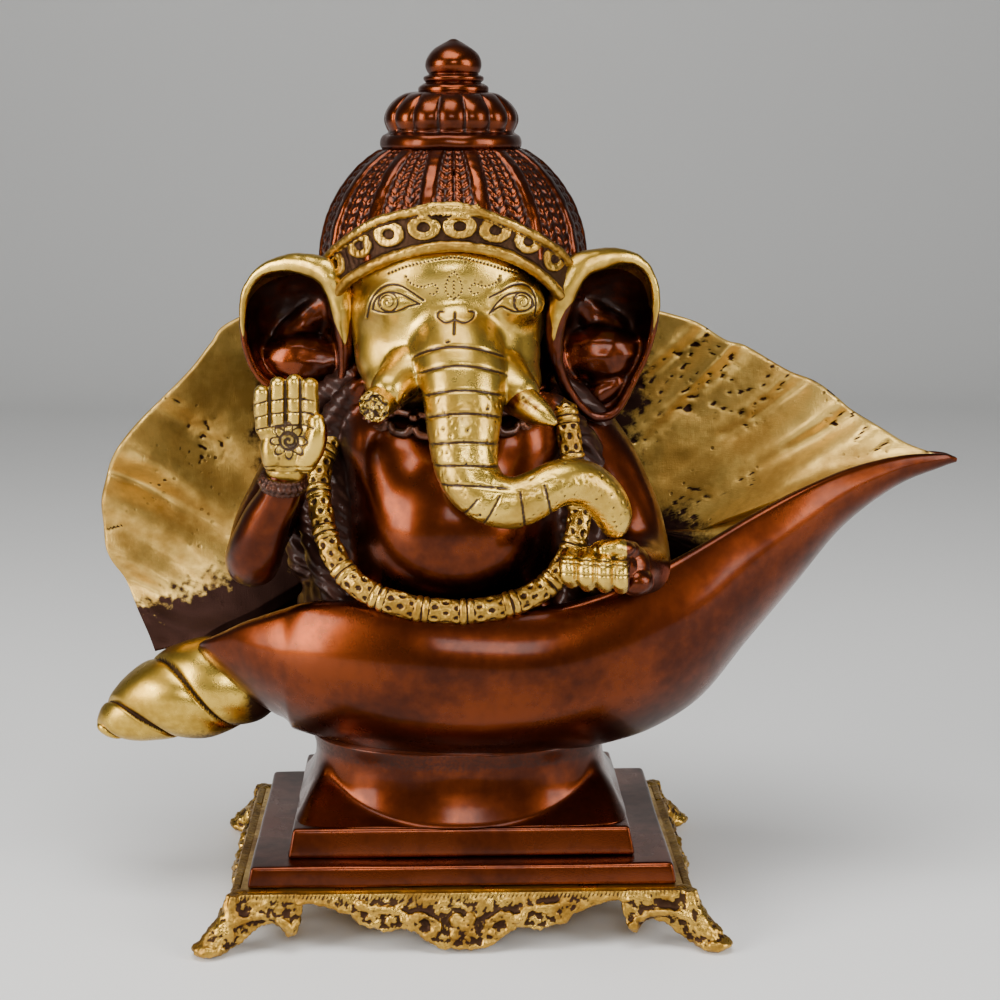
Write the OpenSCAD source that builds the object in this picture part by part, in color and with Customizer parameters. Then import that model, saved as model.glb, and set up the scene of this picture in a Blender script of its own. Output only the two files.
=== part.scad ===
// Cast brass Ganesha seated in a conch shell, on a stepped plinth with a footed frame.
// Every casting is its own module. All sizes are in millimetres, +X is the viewer's right,
// +Y is away from the viewer and +Z is up. The layout is drawn about the plinth's centre line
// and then moved so that the origin is under the middle of the whole idol.

/* [Base] */
// Width of the frame plate that carries the feet
plate_w = 157; // [150:1:164]
// Depth of the frame plate
plate_d = 118; // [112:1:124]
// Height of the frame plate's top face above the table
plate_top = 20; // [19:1:22]
// Thickness of the frame plate
plate_t = 4; // [3:0.5:5]
// Height of the lower step
lower_h = 7.3; // [6:0.1:9]
// Height of the upper step
upper_h = 10; // [8:0.5:12]
// Inset of the lower step from the plate, each side
lower_inset = 5; // [4:0.5:7]
// Inset of the upper step from the lower step, left and right
upper_inset = 13.5; // [12:0.5:15]
// Inset of the upper step from the lower step, front and back
upper_inset_y = 9; // [7:0.5:10]

/* [Castings] */
// Wall thickness of the hollow castings
wall = 3.5; // [2.5:0.5:4.5]
// Thickness of the aprons between the feet
apron_t = 3; // [2:0.5:4]
// Outward lean of the aprons, in degrees
apron_lean = 14; // [5:1:20]
// Height of the aprons, from the plate's top face to the tip of the middle lobe
apron_drop = 19.5; // [16:0.5:20]

/* [Figure] */
// Radius of the belly
belly_r = 37; // [35:0.5:38]
// Radius of the crown at its widest
crown_r = 46; // [44:0.5:47]
// Radius of the fluted bulb on the crown
bulb_r = 23; // [20:0.5:25]

/* [Fixing] */
// Diameter of the tie rod
rod_d = 8; // [6:0.5:10]
// Clearance of the rod's holes, on the diameter
rod_clearance = 0.6; // [0.4:0.1:1]

/* [Hidden] */

gold = [0.74, 0.58, 0.29];
bronze = [0.36, 0.13, 0.05];
steel = [0.55, 0.55, 0.56];

// The whole idol's middle, seen from the plinth's centre line.
middle = [22.3, -3.9, 0];

// Heights of the stack
lower_top = plate_top + lower_h;
upper_top = lower_top + upper_h;
neck_top = 58;

lower_w = plate_w - 2 * lower_inset;
lower_d = plate_d - 2 * lower_inset;
upper_w = lower_w - 2 * upper_inset;
upper_d = lower_d - 2 * upper_inset_y;

module in_frame() translate(-middle) children();

// ---------- shapes that repeat ----------

// A closed skin over rings of points, with flat ends. Each ring has the same number of points.
module skin(rings) {
    n = len(rings[0]);
    m = len(rings);
    sides = [
        for (i = [0 : m - 2], j = [0 : n - 1])
            each [
                [i * n + j, (i + 1) * n + j, i * n + (j + 1) % n],
                [i * n + (j + 1) % n, (i + 1) * n + j, (i + 1) * n + (j + 1) % n]
            ]
    ];
    near_end = [for (j = [0 : n - 1]) j];
    far_end = [for (j = [0 : n - 1]) (m - 1) * n + n - 1 - j];
    polyhedron([for (r = rings) each r], concat(sides, [near_end, far_end]), convexity = 8);
}

// Fat rods between neighbouring points, for limbs and soft bodies.
module chain(points, radii, sides = 16) {
    for (i = [0 : len(points) - 2])
        hull() {
            translate(points[i]) sphere(radii[i], $fn = sides);
            translate(points[i + 1]) sphere(radii[i + 1], $fn = sides);
        }
}

function unit(v) = v / norm(v);

// Direction of a path at one of its points
function along(path, i) =
    unit(path[min(i + 1, len(path) - 1)] - path[max(i - 1, 0)]);

// A smooth path through hand-placed points, with steps between each pair
function smooth(points, steps = 3) = [
    for (i = [0 : len(points) - 2])
        let (a = points[max(i - 1, 0)], b = points[i],
             c = points[i + 1], d = points[min(i + 2, len(points) - 1)])
        for (k = [0 : steps - 1])
            let (t = k / steps)
            0.5 * (2 * b + (c - a) * t + (2 * a - 5 * b + 4 * c - d) * t * t
                + (3 * b - a - 3 * c + d) * t * t * t),
    points[len(points) - 1]
];

// A tube of changing size along a path: size is [width, depth] at each point, and up is
// the direction that its depth is measured in.
module tube(path, size, up = [0, 1, 0], sides = 14) {
    skin([
        for (i = [0 : len(path) - 1])
            let (t = along(path, i),
                 side = unit(cross(t, up)),
                 deep = cross(side, t))
            [for (j = [0 : sides - 1])
                path[i] + size[i][0] / 2 * cos(360 * j / sides) * side
                    - size[i][1] / 2 * sin(360 * j / sides) * deep]
    ]);
}

// ---------- base ----------

// Right half of the apron's lower edge, as [part of the half length, part of the drop]
apron_edge = [
    [1, 0.17], [0.92, 0.17], [0.66, 0.4], [0.56, 0.62], [0.42, 0.67], [0.32, 0.6],
    [0.25, 0.68], [0.2, 0.86], [0.14, 0.96], [0.07, 1]
];

module apron_outline(length, drop) {
    right = [for (p = apron_edge) [p[0] * length / 2, -p[1] * drop]];
    left = [for (i = [len(right) - 1 : -1 : 0]) [-right[i][0], right[i][1]]];
    polygon(concat([[length / 2, 0]], right, left, [[-length / 2, 0]]));
}

module apron(length, distance, angle) {
    color(gold) in_frame()
        rotate([0, 0, angle]) translate([0, -distance, plate_top])
            rotate([90 - apron_lean, 0, 0]) translate([0, 0, -apron_t])
                linear_extrude(apron_t) apron_outline(length, apron_drop);
}

// How far each foot's bracket reaches along the plate's sides, its thickness and its height
foot_reach = 23;
rim_t = 3;
bracket_h = 9;
// The feet's round pads: radius, thickness and distance out from the plate's corner
pad_r = 6;
pad_t = 2.2;
pad_out = [6.5, 2.5];
leg_r = 4.5;
ankle_r = 4;

module apron_front() apron(plate_w - 2 * foot_reach, plate_d / 2, 0);
module apron_back() apron(plate_w - 2 * foot_reach, plate_d / 2, 180);
module apron_left() apron(plate_d - 2 * foot_reach, plate_w / 2, -90);
module apron_right() apron(plate_d - 2 * foot_reach, plate_w / 2, 90);

// Mirrors the children from the +X +Y quarter into the one asked for
module in_quarter(sx, sy) mirror([sx < 0 ? 1 : 0, 0, 0]) mirror([0, sy < 0 ? 1 : 0, 0]) children();

// One corner foot: a bracket round the plate's corner, and a leg that leans out to a round pad
module foot(sx, sy) {
    corner = [plate_w / 2, plate_d / 2];
    pad = corner + pad_out;
    ankle = [pad[0] - 1, pad[1] - 1, ankle_r];
    color(gold) in_frame() in_quarter(sx, sy) {
        translate([0, 0, plate_top - bracket_h]) linear_extrude(bracket_h) polygon([
            corner, [corner[0] - foot_reach, corner[1]], [corner[0] - foot_reach, corner[1] - rim_t],
            corner - [rim_t, rim_t], [corner[0] - rim_t, corner[1] - foot_reach],
            [corner[0], corner[1] - foot_reach]
        ]);
        hull() {
            translate([corner[0] - leg_r, corner[1] - leg_r, plate_top - 10]) cylinder(r = leg_r, h = 5.5, $fn = 24);
            translate(ankle) sphere(ankle_r, $fn = 16);
        }
        hull() {
            translate(ankle) sphere(ankle_r, $fn = 16);
            translate([pad[0], pad[1], pad_t - 0.2]) cylinder(r = pad_r, h = 1.5, $fn = 24);
        }
        translate([pad[0], pad[1], 0]) cylinder(r = pad_r, h = pad_t, $fn = 48);
    }
}

module foot_front_left() foot(-1, -1);
module foot_front_right() foot(1, -1);
module foot_back_left() foot(-1, 1);
module foot_back_right() foot(1, 1);

module frame_plate() {
    color(gold) in_frame() difference() {
        translate([rim_t - plate_w / 2, rim_t - plate_d / 2, plate_top - plate_t])
            cube([plate_w - 2 * rim_t, plate_d - 2 * rim_t, plate_t]);
        translate([0, 0, plate_top - plate_t - 1]) cylinder(d = rod_d + rod_clearance, h = plate_t + 2, $fn = 48);
    }
}

// A hollow step, open underneath, with the rod's hole in its top
module step_box(w, d, h, z) {
    difference() {
        translate([-w / 2, -d / 2, z]) cube([w, d, h]);
        translate([-w / 2 + wall, -d / 2 + wall, z - 1]) cube([w - 2 * wall, d - 2 * wall, h - wall + 1]);
        translate([0, 0, z]) cylinder(d = rod_d + rod_clearance, h = h + 1, $fn = 48);
    }
}

module plinth_lower() color(bronze) in_frame() step_box(lower_w, lower_d, lower_h, plate_top);
module plinth_upper() color(bronze) in_frame() step_box(upper_w, upper_d, upper_h, lower_top);

// Rounded rectangle that turns into an ellipse as its power falls to 2
function oval(w, d, power, z, count = 36) = [
    for (j = [0 : count - 1])
        let (a = 360 * j / count, c = cos(a), s = sin(a))
        [w / 2 * sign(c) * pow(abs(c), 2 / power), d / 2 * sign(s) * pow(abs(s), 2 / power), z]
];

module pedestal_neck() {
    heights = [0, 0.16, 0.4, 0.7, 1];
    widths = [upper_w - 6, 108, 103, 100, 100];
    depths = [upper_d - 6, 78, 71, 67, 67];
    powers = [7, 5, 3.6, 2.8, 2.4];
    h = neck_top - upper_top;
    count = len(heights);
    color(bronze) in_frame() difference() {
        skin([for (i = [count - 1 : -1 : 0]) oval(widths[i], depths[i], powers[i], upper_top + h * heights[i])]);
        translate([0, 0, upper_top - 1]) linear_extrude(h + 2) scale([1, 0.62]) circle(r = 45, $fn = 60);
        conch_filled();
    }
}

// ---------- conch ----------

// Along the conch: [x, lowest z, rim z, half depth]
conch_stations = [
    [-90, 80, 96, 11], [-80, 74.5, 101.5, 21], [-68, 69, 108, 31], [-50, 59.5, 115, 44], [-22, 54, 114, 55],
    [4, 52, 112, 58], [30, 53.5, 113, 57], [54, 57, 118.5, 52], [70, 62, 124.5, 46],
    [86, 73, 132, 39], [102, 92, 138.5, 31], [120, 114, 147.5, 22], [137, 134, 152, 14],
    [156, 148, 156.5, 7], [174, 154.5, 159, 2.6]
];
rim_angle = 120;
conch_arc_steps = 15;

function conch_point(s, angle, inset) =
    let (rz = (s[2] - s[1]) / (1 - cos(rim_angle)), zc = s[1] + rz)
    [s[0], -max(s[3] - inset, 0.5) * sin(angle), zc - max(rz - inset, 0.5) * cos(angle)];

// The wall's own thickness, which thins towards the tip
function conch_wall(s) = min(wall, s[3] * 0.4, (s[2] - s[1]) * 0.3);

// Cross-section of the shell at a station: out along the outer face and back along the inner one
function conch_section(s) = concat(
    [for (k = [0 : conch_arc_steps]) conch_point(s, rim_angle - 2 * rim_angle * k / conch_arc_steps, 0)],
    [for (k = [0 : conch_arc_steps])
        conch_point(s, -rim_angle + 2 * rim_angle * k / conch_arc_steps, conch_wall(s))]
);

module conch_shell() skin([for (s = conch_stations) conch_section(s)]);

// The conch's outer form with its mouth filled in, for cutting neighbours to it
module conch_filled()
    skin([for (s = conch_stations)
        [for (k = [0 : conch_arc_steps]) conch_point(s, rim_angle - 2 * rim_angle * k / conch_arc_steps, 0)]]);

rod_top = 74;
seat_z = 80;
seat_r = 30;
boss_r = 11;
thread_clearance = 0.1;
// Just above the shell's lowest inside face, where the seat and the boss start
floor_z = 54.5;
// The shell, with a hollow round seat for the figure and a threaded boss for the rod in its bottom
module conch_body() {
    color(bronze) in_frame() difference() {
        union() {
            conch_shell();
            translate([0, 0, floor_z]) cylinder(r = boss_r, h = seat_z - floor_z, $fn = 48);
            difference() {
                translate([0, 0, floor_z + 1]) cylinder(r = seat_r, h = seat_z - floor_z - 1, $fn = 72);
                translate([0, 0, floor_z]) cylinder(r = seat_r - wall, h = seat_z, $fn = 72);
            }
        }
        translate([0, 0, upper_top]) cylinder(d = rod_d + thread_clearance, h = rod_top - upper_top, $fn = 48);
    }
}

// Spiral end of the conch: a blunt cone whose radius dips along a helical groove
spire_base = [-74, 2, 78];
spire_tip = [-130, 0, 60];
spire_turns = 2.3;
function spire_radius(t) = 17.2 * pow(max(1 - pow(t, 2.2), 0.02), 0.6);
function spire_dip(phase) = 0.82 + 0.18 * pow(abs(sin(phase / 2)), 0.5);

module conch_spire() {
    axis = unit(spire_tip - spire_base);
    side = unit(cross(axis, [0, 1, 0]));
    deep = cross(axis, side);
    rings = 20;
    count = 18;
    color(gold) in_frame() difference() {
        skin([
            for (i = [0 : rings])
                let (t = i / rings, c = spire_base + (spire_tip - spire_base) * t)
                [for (j = [0 : count - 1])
                    let (a = 360 * j / count,
                         r = spire_radius(t) * spire_dip(360 * spire_turns * t - a))
                    c + r * cos(a) * side - r * sin(a) * deep]
        ]);
        conch_filled();
    }
}

// Outline of the flared wing, from its lower left corner over the top to the right-hand tip: [x, y, z]
wing_top = [
    [-113, 14, 87], [-119, 17, 104], [-126, 20, 120], [-130, 22, 141], [-128, 25, 156], [-119, 29, 170],
    [-106, 32, 181], [-96, 36, 193], [-86, 39, 203], [-66, 42, 210], [-34, 44, 213], [0, 45, 214],
    [36, 44, 213], [66, 42, 210], [86, 39, 205.5], [104, 34, 196], [121, 28, 186.5], [136, 20, 178.5],
    [151, 12, 166], [165, 6, 160.5], [175, 1.5, 158.5]
];
// Where the wing grows out of the conch's far side, for the same places along it
function wing_root(i) =
    let (f = i / (len(wing_top) - 1),
         x = -104 + 277 * (f - 0.18 * sin(180 * f) * (1 - f)),
         z = lookup(x, [for (s = conch_stations) [s[0], s[2]]]) - 4,
         y = lookup(x, [for (s = conch_stations) [s[0], s[3]]]))
    [x, 0.8 * y, z];
wing_rows = 6;
wing_t = 3;

// Point on the wing: t runs from the root to the outline
function wing_point(i, t) =
    let (a = wing_root(i), b = wing_top[i], f = i / (len(wing_top) - 1), swell = 7 * sin(180 * f))
    a + (b - a) * t + [0, swell * sin(180 * t) + 2.2 * t * sin(1900 * f), 0];

module conch_wing() {
    color(gold) in_frame() difference() {
        skin([
            for (i = [0 : len(wing_top) - 1])
                concat(
                    [for (k = [0 : wing_rows]) wing_point(i, k / wing_rows)],
                    [for (k = [wing_rows : -1 : 0]) wing_point(i, k / wing_rows) + [0, wing_t, 0]]
                )
        ]);
        conch_filled();
        // Nothing of the wing reaches into the figure
        torso_form();
    }
}

// ---------- figure ----------

belly = [-2, -13, 139];

// The belly, and the core that hollows it when shrink is the wall
module belly_form(shrink) {
    chain([[-2, -4, 104], belly, [-2, -2, 162]], [34 - shrink, belly_r - shrink, 30 - shrink], 20);
    chain([[-34, -2, 98], [30, -2, 98]], [24 - shrink, 24 - shrink]);
}

module torso_form() {
    belly_form(0);
    chain([[-21, -23, 166], [-21, -5, 168]], [20, 20]);
    chain([[17, -23, 166], [17, -5, 168]], [20, 20]);
    chain([[-43, 6, 169], [-2, 8, 166], [39, 6, 169]], [14, 22, 14]);
    chain([[-2, 12, 176], [-2, 10, 104]], [20, 26]);
}

core_hole_r = 20;
module torso() {
    color(bronze) in_frame() difference() {
        torso_form();
        intersection() {
            belly_form(wall);
            translate([-100, -100, seat_z + wall]) cube([200, 200, 200]);
        }
        translate([-100, -100, seat_z - 60]) cube([200, 200, 60]);
        translate([0, 0, seat_z - 1]) cylinder(r = core_hole_r, h = 20, $fn = 48);
        head_form(0);
    }
}

// Head without the trunk: a domed skull, cheeks and chin
module head_form(shrink) {
    chain([[-4, -8, 210], [-4, -14, 212]], [34 - shrink, 34 - shrink], 22);
    chain([[-12, -18, 200], [4, -18, 200]], [25 - shrink, 25 - shrink], 18);
    chain([[-20, -26, 197], [-18, -28, 187]], [17 - shrink, 12 - shrink]);
    chain([[12, -26, 197], [11, -28, 187]], [17 - shrink, 12 - shrink]);
    chain([[-4, -8, 205], [-4, 6, 190]], [28 - shrink, 20 - shrink]);
}

trunk_points = [
    [-3, -34, 210], [0, -46, 206], [1.5, -55, 199], [1.5, -61, 189], [0.5, -64, 178], [1, -65, 167],
    [5, -66, 159.5], [13, -67, 156], [22, -67, 157.5], [31, -65, 161], [40, -62, 160.5],
    [47, -59, 154.5], [50, -57, 146.5]
];
trunk_sizes = [
    [38, 30], [37, 30], [36, 27], [31, 24], [25.5, 21], [21, 19],
    [19, 18], [17.5, 17], [16, 16], [15, 15], [14.5, 14.5], [14, 13.5], [9, 9]
];

neck_r = 13;
module trunk_form() tube(smooth(trunk_points, 2), smooth(trunk_sizes, 2), [0, 1, 0], 14);

module head() {
    color(gold) in_frame() difference() {
        head_form(0);
        head_form(wall);
        // The neck is open into the body
        translate([-4, 0, 160]) cylinder(r = neck_r, h = 40, $fn = 32);
    }
}

module trunk() {
    color(gold) in_frame() difference() {
        trunk_form();
        head_form(0);
    }
}

module tusk(base, tip, r0, r1) {
    axis = tip - base;
    translate(base)
        rotate([0, acos(axis[2] / norm(axis)), atan2(axis[1], axis[0])])
            cylinder(r1 = r0, r2 = r1, h = norm(axis), $fn = 24);
}

// The cheeks alone, which are all that a tusk is cut against
module cheeks() {
    chain([[-20, -26, 197], [-18, -28, 187]], [17, 12]);
    chain([[12, -26, 197], [11, -28, 187]], [17, 12]);
}

module right_tusk() {
    color(gold) in_frame() difference() {
        tusk([-21, -38, 190], [-29, -60, 183], 5.2, 5.2);
        cheeks();
    }
}

module left_tusk() {
    color(gold) in_frame() difference() {
        tusk([15, -38, 189], [31, -62, 180], 6, 0.8);
        cheeks();
    }
}

// A cupped ear: rings of points from near its middle out to its edge, then back behind it
module ear_form(side, centre, half_w, half_h) {
    count = 20;
    steps = [0.3, 0.6, 0.86, 1];
    layers = concat([for (s = steps) [s, 0]], [for (i = [3 : -1 : 0]) [steps[i], ear_t]]);
    skin([
        for (l = layers)
            [for (j = [0 : count - 1])
                ear_point(side, centre, half_w, half_h, l[0], 360 * side * j / count, l[1])]
    ]);
}
ear_t = 3.6;
// How much deeper an ear's middle is than its edge
ear_cup = 15;
function ear_point(side, centre, half_w, half_h, s, a, back) = [
    centre[0] + side * half_w * s * cos(a),
    centre[1] + ear_cup * (1 - s * s) + back - 6 * cos(a) * s,
    centre[2] + half_h * s * sin(a) * (1 + 0.12 * cos(a))
];

module ear(side, centre, half_w, half_h) {
    color(gold) in_frame() difference() {
        ear_form(side, centre, half_w, half_h);
        head_form(0);
        torso_form();
        crown_filled();
    }
}

module right_ear() ear(-1, [-56, -12, 204], 20, 28);
module left_ear() ear(1, [49.3, -12.4, 204.3], 19.6, 28.6);

right_arm_points = [[-47, 2, 168], [-60, -12, 147], [-68, -26, 133], [-63, -38, 147], [-59, -44, 156]];
right_arm_radii = [13, 11.5, 10.5, 8.5, 6.8];
left_arm_points = [[44, 2, 168], [60, -8, 150], [71, -22, 133], [64, -38, 127], [57, -48, 129]];
left_arm_radii = [13, 12, 11, 9.5, 7.5];

module right_arm() {
    color(bronze) in_frame() difference() {
        chain(right_arm_points, right_arm_radii, 14);
        torso_form();
        hand_form();
        bracelet_ring();
    }
}

module left_arm() {
    color(bronze) in_frame() difference() {
        chain(left_arm_points, left_arm_radii, 14);
        torso_form();
        fist_form();
    }
}

bracelet_centre = [-59, -44.5, 158];
// Turned ring round the wrist
module bracelet_ring()
    translate(bracelet_centre) rotate([12, 6, 0]) rotate_extrude($fn = 48)
        translate([8, 0]) circle(r = 2.2, $fn = 24);

module right_bracelet() color(bronze) in_frame() bracelet_ring();

// The raised right hand, palm forward
module hand_form() {
    chain([[-60, -47, 168], [-54, -47, 167]], [6, 6], 12);
    chain([[-62, -49, 176], [-53, -49, 175]], [6, 5.6], 12);
    chain([[-59, -46, 163], [-57, -48, 170]], [6.8, 7], 12);
    for (f = [0 : 3])
        let (x = -65 + f * 5.1)
        chain([[x, -50, 179], [x + 0.6, -51, 191 + (f == 1 || f == 2 ? 1.6 : 0)]], [3, 2.7], 10);
    chain([[-52, -50, 168], [-47.8, -52, 176], [-48, -52.5, 182]], [4, 3.4, 2.6], 10);
}

module right_hand() color(gold) in_frame() difference() {
    hand_form();
    bracelet_ring();
}

// The resting left hand, with its fingers folded down over the thigh
module fist_form() {
    chain([[56, -49, 131], [50, -54, 132], [43, -55, 133]], [8, 9, 8], 12);
    for (f = [0 : 3])
        let (x = 36.5 + f * 5.4, dz = -0.9 * f)
        chain([[x, -58, 137 + dz], [x - 0.4, -63, 131 + dz], [x + 0.4, -60, 126.5 + dz * 0.4]], [3, 3, 2.8], 10);
}

module left_hand() color(gold) in_frame() difference() {
    fist_form();
    torso_form();
}

// ---------- ornaments ----------

garland_d = 9.5;
garland_points = [
    [-40, -8, 176], [-45, -22, 160], [-44, -33, 143], [-37, -42, 127], [-24, -46, 119],
    [-4, -48, 116], [19, -46, 118.5], [34, -42, 128], [40, -36, 145], [38, -28, 168], [35, -20, 182]
];

module garland() {
    path = smooth(garland_points, 3);
    color(gold) in_frame() difference() {
        tube(path, [for (p = path) [garland_d, garland_d]], [0, 1, 0.01], 10);
        torso_form();
        head_form(0);
        trunk_form();
        fist_form();
        chain(left_arm_points, left_arm_radii, 14);
        chain(right_arm_points, right_arm_radii, 14);
    }
}

// Fat bead string lying on the top of the chest, under the cheeks
module necklace() {
    path = [for (i = [0 : 14]) let (a = -66 + 132 * i / 14) [-2 + 37 * sin(a), 4 - 46 * cos(a), 185 - 6 * cos(a)]];
    color(bronze) in_frame() difference() {
        tube(path, [for (p = path) [necklace_d, necklace_d]], [0, 0, 1], 10);
        torso_form();
        head_form(0);
        trunk_form();
    }
}
necklace_d = 6.5;

crown_axis = [-1.7, 3];
// Outer profile of the crown's dome from its foot to its neck: [radius, z]
crown_profile = [
    [crown_r - 2, 206], [crown_r - 0.6, 218], [crown_r, 232], [crown_r - 2.6, 243], [crown_r - 8, 254],
    [crown_r - 15, 262], [crown_r - 21, 267]
];
module crown_filled() {
    translate([crown_axis[0], crown_axis[1], 0]) rotate_extrude($fn = 64)
        polygon(concat([[0, 206]], crown_profile, [[0, 267]]));
}

// Front edge of the crown, as [y, z], and how steeply the edge falls towards the back
brow = [-43, 236];
brow_slope = 25;

module crown_dome() {
    color(bronze) in_frame() difference() {
        translate([crown_axis[0], crown_axis[1], 0]) rotate_extrude($fn = 96)
            polygon(concat(
                crown_profile, [[0, 267], [0, 267 - wall]],
                [for (i = [len(crown_profile) - 1 : -1 : 0])
                    [crown_profile[i][0] - wall, crown_profile[i][1] - (i == 0 ? 0 : wall * 0.6)]]
            ));
        // The front is cut away over the forehead, up to a plane that falls towards the back
        translate([-100, brow[0], brow[1]]) rotate([-brow_slope, 0, 0]) translate([0, -60, -100])
            cube([200, 135, 100]);
    }
}

function crown_r_at(z) = lookup(z, [for (p = crown_profile) [p[1], p[0]]]);
// Point of the headband: its angle round the crown, its height from the band's middle and its lift
function band_point(a, h, lift) =
    let (y = crown_axis[1] - crown_r * cos(a), z = brow[1] - (y - brow[0]) * tan(brow_slope) + 4 + h,
         r = crown_r_at(z) + 0.25 + lift)
    [crown_axis[0] + r * sin(a), crown_axis[1] - r * cos(a), z];

module headband() {
    color(gold) in_frame() skin([
        for (i = [0 : 16])
            let (a = -62 + 124 * i / 16)
            [for (c = [[-6, 0], [6, 0], [6, 3.4], [-6, 3.4]]) band_point(a, c[0], c[1])]
    ]);
}

module crown_bulb() {
    color(bronze) in_frame() translate([crown_axis[0], crown_axis[1], 267]) union() {
        cylinder(r = bulb_r + 1, h = 4.6, $fn = 72);
        translate([0, 0, 4.6]) rotate_extrude($fn = 72)
            polygon([
                [0, 0], [bulb_r - 2.5, 0], [bulb_r - 0.6, 3], [bulb_r - 1.2, 7], [bulb_r - 4.5, 11],
                [bulb_r - 10, 14.4], [0, 14.9]
            ]);
    }
}

module crown_finial() {
    z0 = 286.5;
    color(bronze) in_frame() translate([crown_axis[0], crown_axis[1], z0]) rotate_extrude($fn = 64)
        polygon([
            [0, 0], [11.5, 0], [12.2, 1.4], [11.8, 3.2], [9.6, 4.4], [10, 6.4], [10, 9],
            [8.7, 12.2], [6.2, 15], [3, 17.6], [0, 18.4]
        ]);
}

// ---------- fixing ----------

rod_bottom = 3.5;
washer_d = 20;
washer_t = 1.6;
nut_d = 15;
nut_t = 6.5;
module tie_rod() {
    color(steel) in_frame() translate([0, 0, rod_bottom]) cylinder(d = rod_d, h = rod_top - rod_bottom, $fn = 48);
}

module tie_washer() {
    color(steel) in_frame() translate([0, 0, plate_top - plate_t - washer_t]) difference() {
        cylinder(d = washer_d, h = washer_t, $fn = 48);
        translate([0, 0, -1]) cylinder(d = rod_d + rod_clearance, h = washer_t + 2, $fn = 48);
    }
}

module tie_nut() {
    color(steel) in_frame() translate([0, 0, plate_top - plate_t - washer_t - nut_t]) difference() {
        cylinder(d = nut_d, h = nut_t, $fn = 6);
        translate([0, 0, -1]) cylinder(d = rod_d + thread_clearance, h = nut_t + 2, $fn = 48);
    }
}

foot_front_left();
foot_front_right();
foot_back_left();
foot_back_right();
apron_front();
apron_back();
apron_left();
apron_right();
frame_plate();
plinth_lower();
plinth_upper();
pedestal_neck();
conch_body();
conch_spire();
conch_wing();
torso();
right_arm();
right_bracelet();
right_hand();
left_arm();
left_hand();
head();
trunk();
right_tusk();
left_tusk();
right_ear();
left_ear();
headband();
crown_dome();
crown_bulb();
crown_finial();
necklace();
garland();
tie_rod();
tie_washer();
tie_nut();
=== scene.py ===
import math

import bmesh
import bpy
import numpy as np
from mathutils import Euler, Matrix, Vector, noise


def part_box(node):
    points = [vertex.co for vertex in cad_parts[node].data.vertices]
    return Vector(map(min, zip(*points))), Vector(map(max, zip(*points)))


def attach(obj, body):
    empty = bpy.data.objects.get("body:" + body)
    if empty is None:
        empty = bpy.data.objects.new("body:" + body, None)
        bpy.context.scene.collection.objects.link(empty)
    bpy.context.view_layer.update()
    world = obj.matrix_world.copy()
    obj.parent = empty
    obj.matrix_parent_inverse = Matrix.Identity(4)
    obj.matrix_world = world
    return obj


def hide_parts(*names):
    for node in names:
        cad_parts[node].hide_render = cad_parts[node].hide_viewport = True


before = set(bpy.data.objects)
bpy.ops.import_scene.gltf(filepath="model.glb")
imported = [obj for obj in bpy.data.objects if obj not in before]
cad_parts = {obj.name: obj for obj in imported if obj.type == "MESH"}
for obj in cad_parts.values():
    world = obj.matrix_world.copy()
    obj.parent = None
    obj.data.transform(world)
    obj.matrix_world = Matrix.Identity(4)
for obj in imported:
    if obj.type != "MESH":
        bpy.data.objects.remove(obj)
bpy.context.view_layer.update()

print("frame loaded:", len(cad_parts), "cast parts")

# Everything below is shaped in millimetres about the plinth's centre line, and toFrame carries it into place
plinthLow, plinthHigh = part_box("plinth_lower")
toFrame = Matrix.Translation(((plinthLow.x + plinthHigh.x) / 2, (plinthLow.y + plinthHigh.y) / 2, 0))
toFrame = toFrame @ Matrix.Scale(0.001, 4)
intoPlinth = toFrame.inverted()


def nodeBox(node):
    low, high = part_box(node)
    return intoPlinth @ low, intoPlinth @ high


# a smooth curve through given points, each with any number of values
def smoothPath(points, steps=8):
    p = np.array(points, float)
    p = np.vstack([2 * p[0] - p[1], p, 2 * p[-1] - p[-2]])
    curve = []
    for a, b, c, d in zip(p, p[1:], p[2:], p[3:]):
        for t in np.arange(steps) / steps:
            bend = (2 * a - 5 * b + 4 * c - d) * t ** 2 + (3 * b - a - 3 * c + d) * t ** 3
            curve.append((2 * b + (c - a) * t + bend) / 2)
    curve.append(p[-2])
    return np.array(curve)


# values of such a curve at parts u of its length, where 0 is its start and 1 is its end
def readPath(curve, u):
    stops = np.linspace(0, 1, len(curve))
    return np.stack([np.interp(u, stops, column) for column in curve.T], axis=-1)


def ball(bm, centre, size, turn=(0, 0, 0), detail=3):
    size = (size,) * 3 if np.isscalar(size) else size
    spin = Euler([math.radians(a) for a in turn]).to_matrix().to_4x4()
    place = Matrix.Translation(centre) @ spin @ Matrix.Diagonal((*size, 1))
    bmesh.ops.create_icosphere(bm, subdivisions=detail, radius=1, matrix=place)


# a limb or roll laid down as close-set balls: each point is x, y, z and radius
def roll(bm, points, steps=10, detail=2):
    for x, y, z, r in smoothPath(points, steps):
        ball(bm, (x, y, z), r, detail=detail)


def block(bm, centre, size, turn=(0, 0, 0)):
    spin = Euler([math.radians(a) for a in turn]).to_matrix().to_4x4()
    place = Matrix.Translation(centre) @ spin @ Matrix.Diagonal((*size, 1))
    bmesh.ops.create_cube(bm, size=1, matrix=place)


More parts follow.
